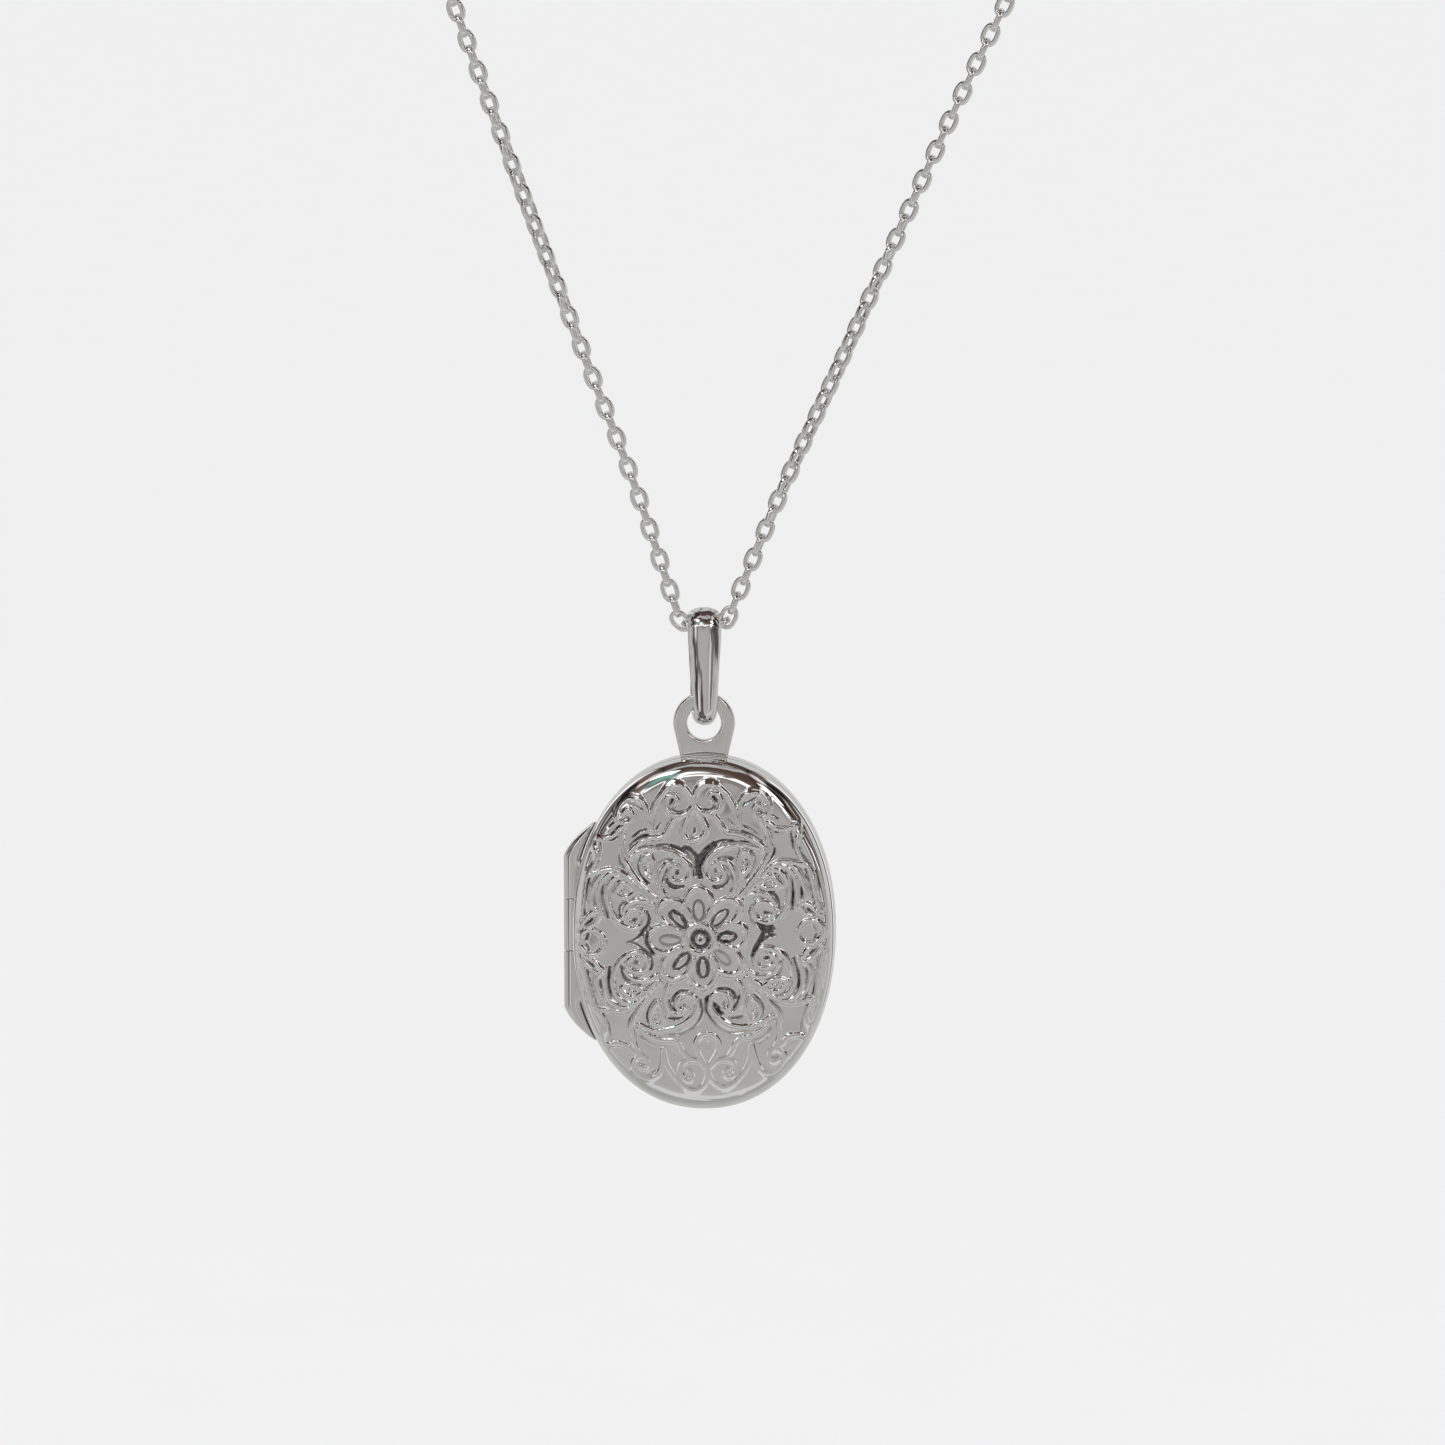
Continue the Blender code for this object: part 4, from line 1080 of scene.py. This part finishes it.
def make_cover(embossed, silver, card, window):
    """The front shell and everything that opens with it."""
    def part(name, shape, node, material=silver, slot="polished_silver"):
        return make_piece(name, shape, material, "cover", [node])

    shape, patina_and_shade = front_shell_shape()
    shell = part("front_shell_embossed", shape, "front_shell", embossed)
    # Patina and painted shade, for the embossed silver to darken.
    dark_patina_and_shade = shell.data.attributes.new("patina_and_shade", "FLOAT", "POINT")
    dark_patina_and_shade.data.foreach_set("value", patina_and_shade)
    part("front_frame", oval_ring_shape(*FRONT_FRAME, 0.1 * MM), "front_picture_frame")
    shape = oval_plate_shape(WINDOW[0], mirrored(WINDOW[1]), 0.04 * MM)
    part("front_window_disc", shape, "front_window", window, "clear_window")
    shape = oval_plate_shape(PICTURE[0], mirrored(PICTURE[1]), 0.02 * MM)
    part("front_picture_sheet", shape, "front_picture", card, "picture_card")
    part("middle_knuckle", middle_knuckle_shape(), "hinge_knuckle_middle")


# ---------------------------------------------------------------- studio

BACKGROUND = (0.865, 0.865, 0.87)
ROOM_GLOW = (0.93, 0.93, 0.935)  # lights whatever is matt
FLOOR_RADIUS = 6.0
FLOOR_DROP = 0.09  # how far below the case's middle the floor lies
FLOOR_SHADES = ((0.932, 0.932, 0.935), (0.928, 0.928, 0.931))
# Each soft box's azimuth, elevation and distance, then its width and height, and its power.
SOFT_BOXES = {
    "key_light": ((-38, 52, 0.55), (0.16, 0.1), 0.12),
    "fill_light": ((48, 40, 0.6), (0.1, 0.16), 0.08),
}
# A greenish thing in the room, seen only in the case's shoulder: its direction, reach and colour.
GREEN_PLACE = (-0.36, -0.67, 0.65)
GREEN_REACH = (0.08, 0.2)
GREEN = (0.2, 0.42, 0.36)
ROOM_WAVES = 0.9  # how far, in radians, the room's bands wander up and down
# What the silver reflects, by the angle above the front horizon, in degrees: a grey's share or a colour.
SURROUNDINGS = (
    (-180, 0.62),
    (-130, (0.55, 0.55, 0.54)),
    (-90, (0.44, 0.44, 0.43)),
    (-76, (0.37, 0.37, 0.36)),
    (-66, (0.39, 0.39, 0.38)),
    (-62, 0.64),
    (-54, 0.64),
    (-48, (0.46, 0.46, 0.45)),
    (-20, (0.425, 0.415, 0.41)),
    (-8, (0.41, 0.40, 0.39)),
    (14, (0.375, 0.365, 0.355)),
    (23, (0.20, 0.175, 0.165)),
    (26, 1.5),
    (29.5, 1.5),
    (33, (0.20, 0.17, 0.16)),
    (46, (0.09, 0.06, 0.045)),
    (62, (0.08, 0.052, 0.042)),
    (67, (0.42, 0.42, 0.43)),
    (80, 0.5),
    (88, (0.09, 0.06, 0.05)),
    (116, (0.06, 0.045, 0.04)),
    (128, 0.55),
    (180, 0.62),
)
# How the room's sides change that, by the direction's share to the right: dark stands and bright panels.
SIDES = (
    (-1.0, 0.95),
    (-0.9, 0.9),
    (-0.82, 0.25),
    (-0.7, 0.2),
    (-0.66, 1.9),
    (-0.58, 1.9),
    (-0.5, 1.3),
    (-0.44, 0.4),
    (-0.40, 1.0),
    (0.38, 1.0),
    (0.42, 0.35),
    (0.47, 1.5),
    (0.58, 1.9),
    (0.63, 0.2),
    (0.76, 0.22),
    (0.8, 1.3),
    (0.86, 0.95),
    (1.0, 0.9),
)


def colour_ramp(tree, value, stops, reach):
    """A ramp through (value, colour or grey) stops that lie between -reach and reach."""
    ramp = tree.nodes.new("ShaderNodeValToRGB")
    tree.links.new(remap(tree, value, 0, 1, (-reach, reach)), ramp.inputs["Fac"])
    elements = ramp.color_ramp.elements
    while len(elements) < len(stops):
        elements.new(0.5)
    for element, (place, shade) in zip(elements, stops):
        element.position = (place / reach + 1) / 2
        element.color = (*(shade if isinstance(shade, tuple) else (shade, shade, shade)), 1)
    return ramp.outputs["Color"]


def make_surroundings():
    """The soft room round the object: plain and pale, with the bands that polished silver mirrors."""
    world = bpy.data.worlds.new("studio")
    bpy.context.scene.world = world
    world.use_nodes = True
    tree = world.node_tree
    place = tree.nodes.new("ShaderNodeTexCoord")
    split = tree.nodes.new("ShaderNodeSeparateXYZ")
    tree.links.new(place.outputs["Generated"], split.inputs["Vector"])
    right, back, up = (split.outputs[axis] for axis in "XYZ")

    angle = calculate(tree, "ARCTAN2", up, calculate(tree, "MULTIPLY", back, -1))
    centred = calculate(tree, "SUBTRACT", angle, ROOM_WAVES / 2)
    waved = calculate(tree, "MULTIPLY_ADD", noise(tree, 3.4, 2, "Generated"), ROOM_WAVES, centred)
    by_height = colour_ramp(tree, waved, [(math.radians(a), shade) for a, shade in SURROUNDINGS], math.pi)
    above_floor = remap(tree, up, 0, 1, (-0.5, -0.1))
    by_side = blend_colours(tree, above_floor, (1, 1, 1), colour_ramp(tree, right, SIDES, 1))
    room = tree.nodes.new("ShaderNodeVectorMath")
    room.operation = "MULTIPLY"
    tree.links.new(by_height, room.inputs[0])
    tree.links.new(by_side, room.inputs[1])

    from_green = tree.nodes.new("ShaderNodeVectorMath")
    from_green.operation = "DISTANCE"
    from_green.inputs[1].default_value = GREEN_PLACE
    tree.links.new(place.outputs["Generated"], from_green.inputs[0])
    near_green = remap(tree, from_green.outputs["Value"], 1, 0, GREEN_REACH)
    mirrored_room = blend_colours(tree, near_green, room.outputs["Vector"], GREEN)

    ray = tree.nodes.new("ShaderNodeLightPath")
    matt_light = blend_colours(tree, ray.outputs["Is Camera Ray"], ROOM_GLOW, BACKGROUND)
    light = blend_colours(tree, ray.outputs["Is Glossy Ray"], matt_light, mirrored_room)
    tree.links.new(light, tree.nodes["Background"].inputs["Color"])


def make_floor():
    """A plain pale floor well under the hanging locket."""
    built = bmesh.new()
    bmesh.ops.create_circle(built, cap_ends=True, radius=FLOOR_RADIUS, segments=96)
    mesh = bpy.data.meshes.new("floor")
    built.to_mesh(mesh)
    built.free()
    floor = bpy.data.objects.new("floor", mesh)
    floor.location.z = CASE_Z - FLOOR_DROP
    bpy.context.scene.collection.objects.link(floor)
    material, tree, shader = start_material("floor_paper", Roughness=0.9, Specular_IOR_Level=0.0)
    colour = blend_colours(tree, remap(tree, noise(tree, 60, 3), 0, 1), *FLOOR_SHADES)
    tree.links.new(colour, shader.inputs["Base Color"])
    mesh.materials.append(material)
    floor.visible_glossy = False


def make_soft_light(name, place, size, power):
    """A soft box that faces the locket."""
    light = bpy.data.lights.new(name, "AREA")
    light.shape = "RECTANGLE"
    light.size, light.size_y = size
    light.energy = power
    put_facing(bpy.data.objects.new(name, light), Vector((0, 0, CASE_Z)), *place)


def make_studio():
    make_surroundings()
    make_floor()
    for name, box in SOFT_BOXES.items():
        make_soft_light(name, *box)
    bpy.context.scene.view_settings.view_transform = "Standard"


def main():
    make_camera()
    silver = silver_material("polished_silver", SILVER, (0.05, 0.1))
    chain_silver = silver_material("chain_silver", CHAIN_SILVER, (0.05, 0.1))
    embossed = silver_material("embossed_silver", SILVER, (0.03, 0.07), patina_and_shade=True)
    card = card_material()
    window = window_material()
    chain, route, length = make_chain(chain_silver)
    on_chain = make_left_end(chain_silver)
    on_chain.append(make_right_end(chain_silver))
    streaked = streaked_silver_material()
    make_piece("bail_hoop", bail_shape(), streaked, "bail", ["bail"], sharp=55)
    make_case(silver, card, window)
    make_cover(embossed, silver, card, window)
    make_studio()


main()
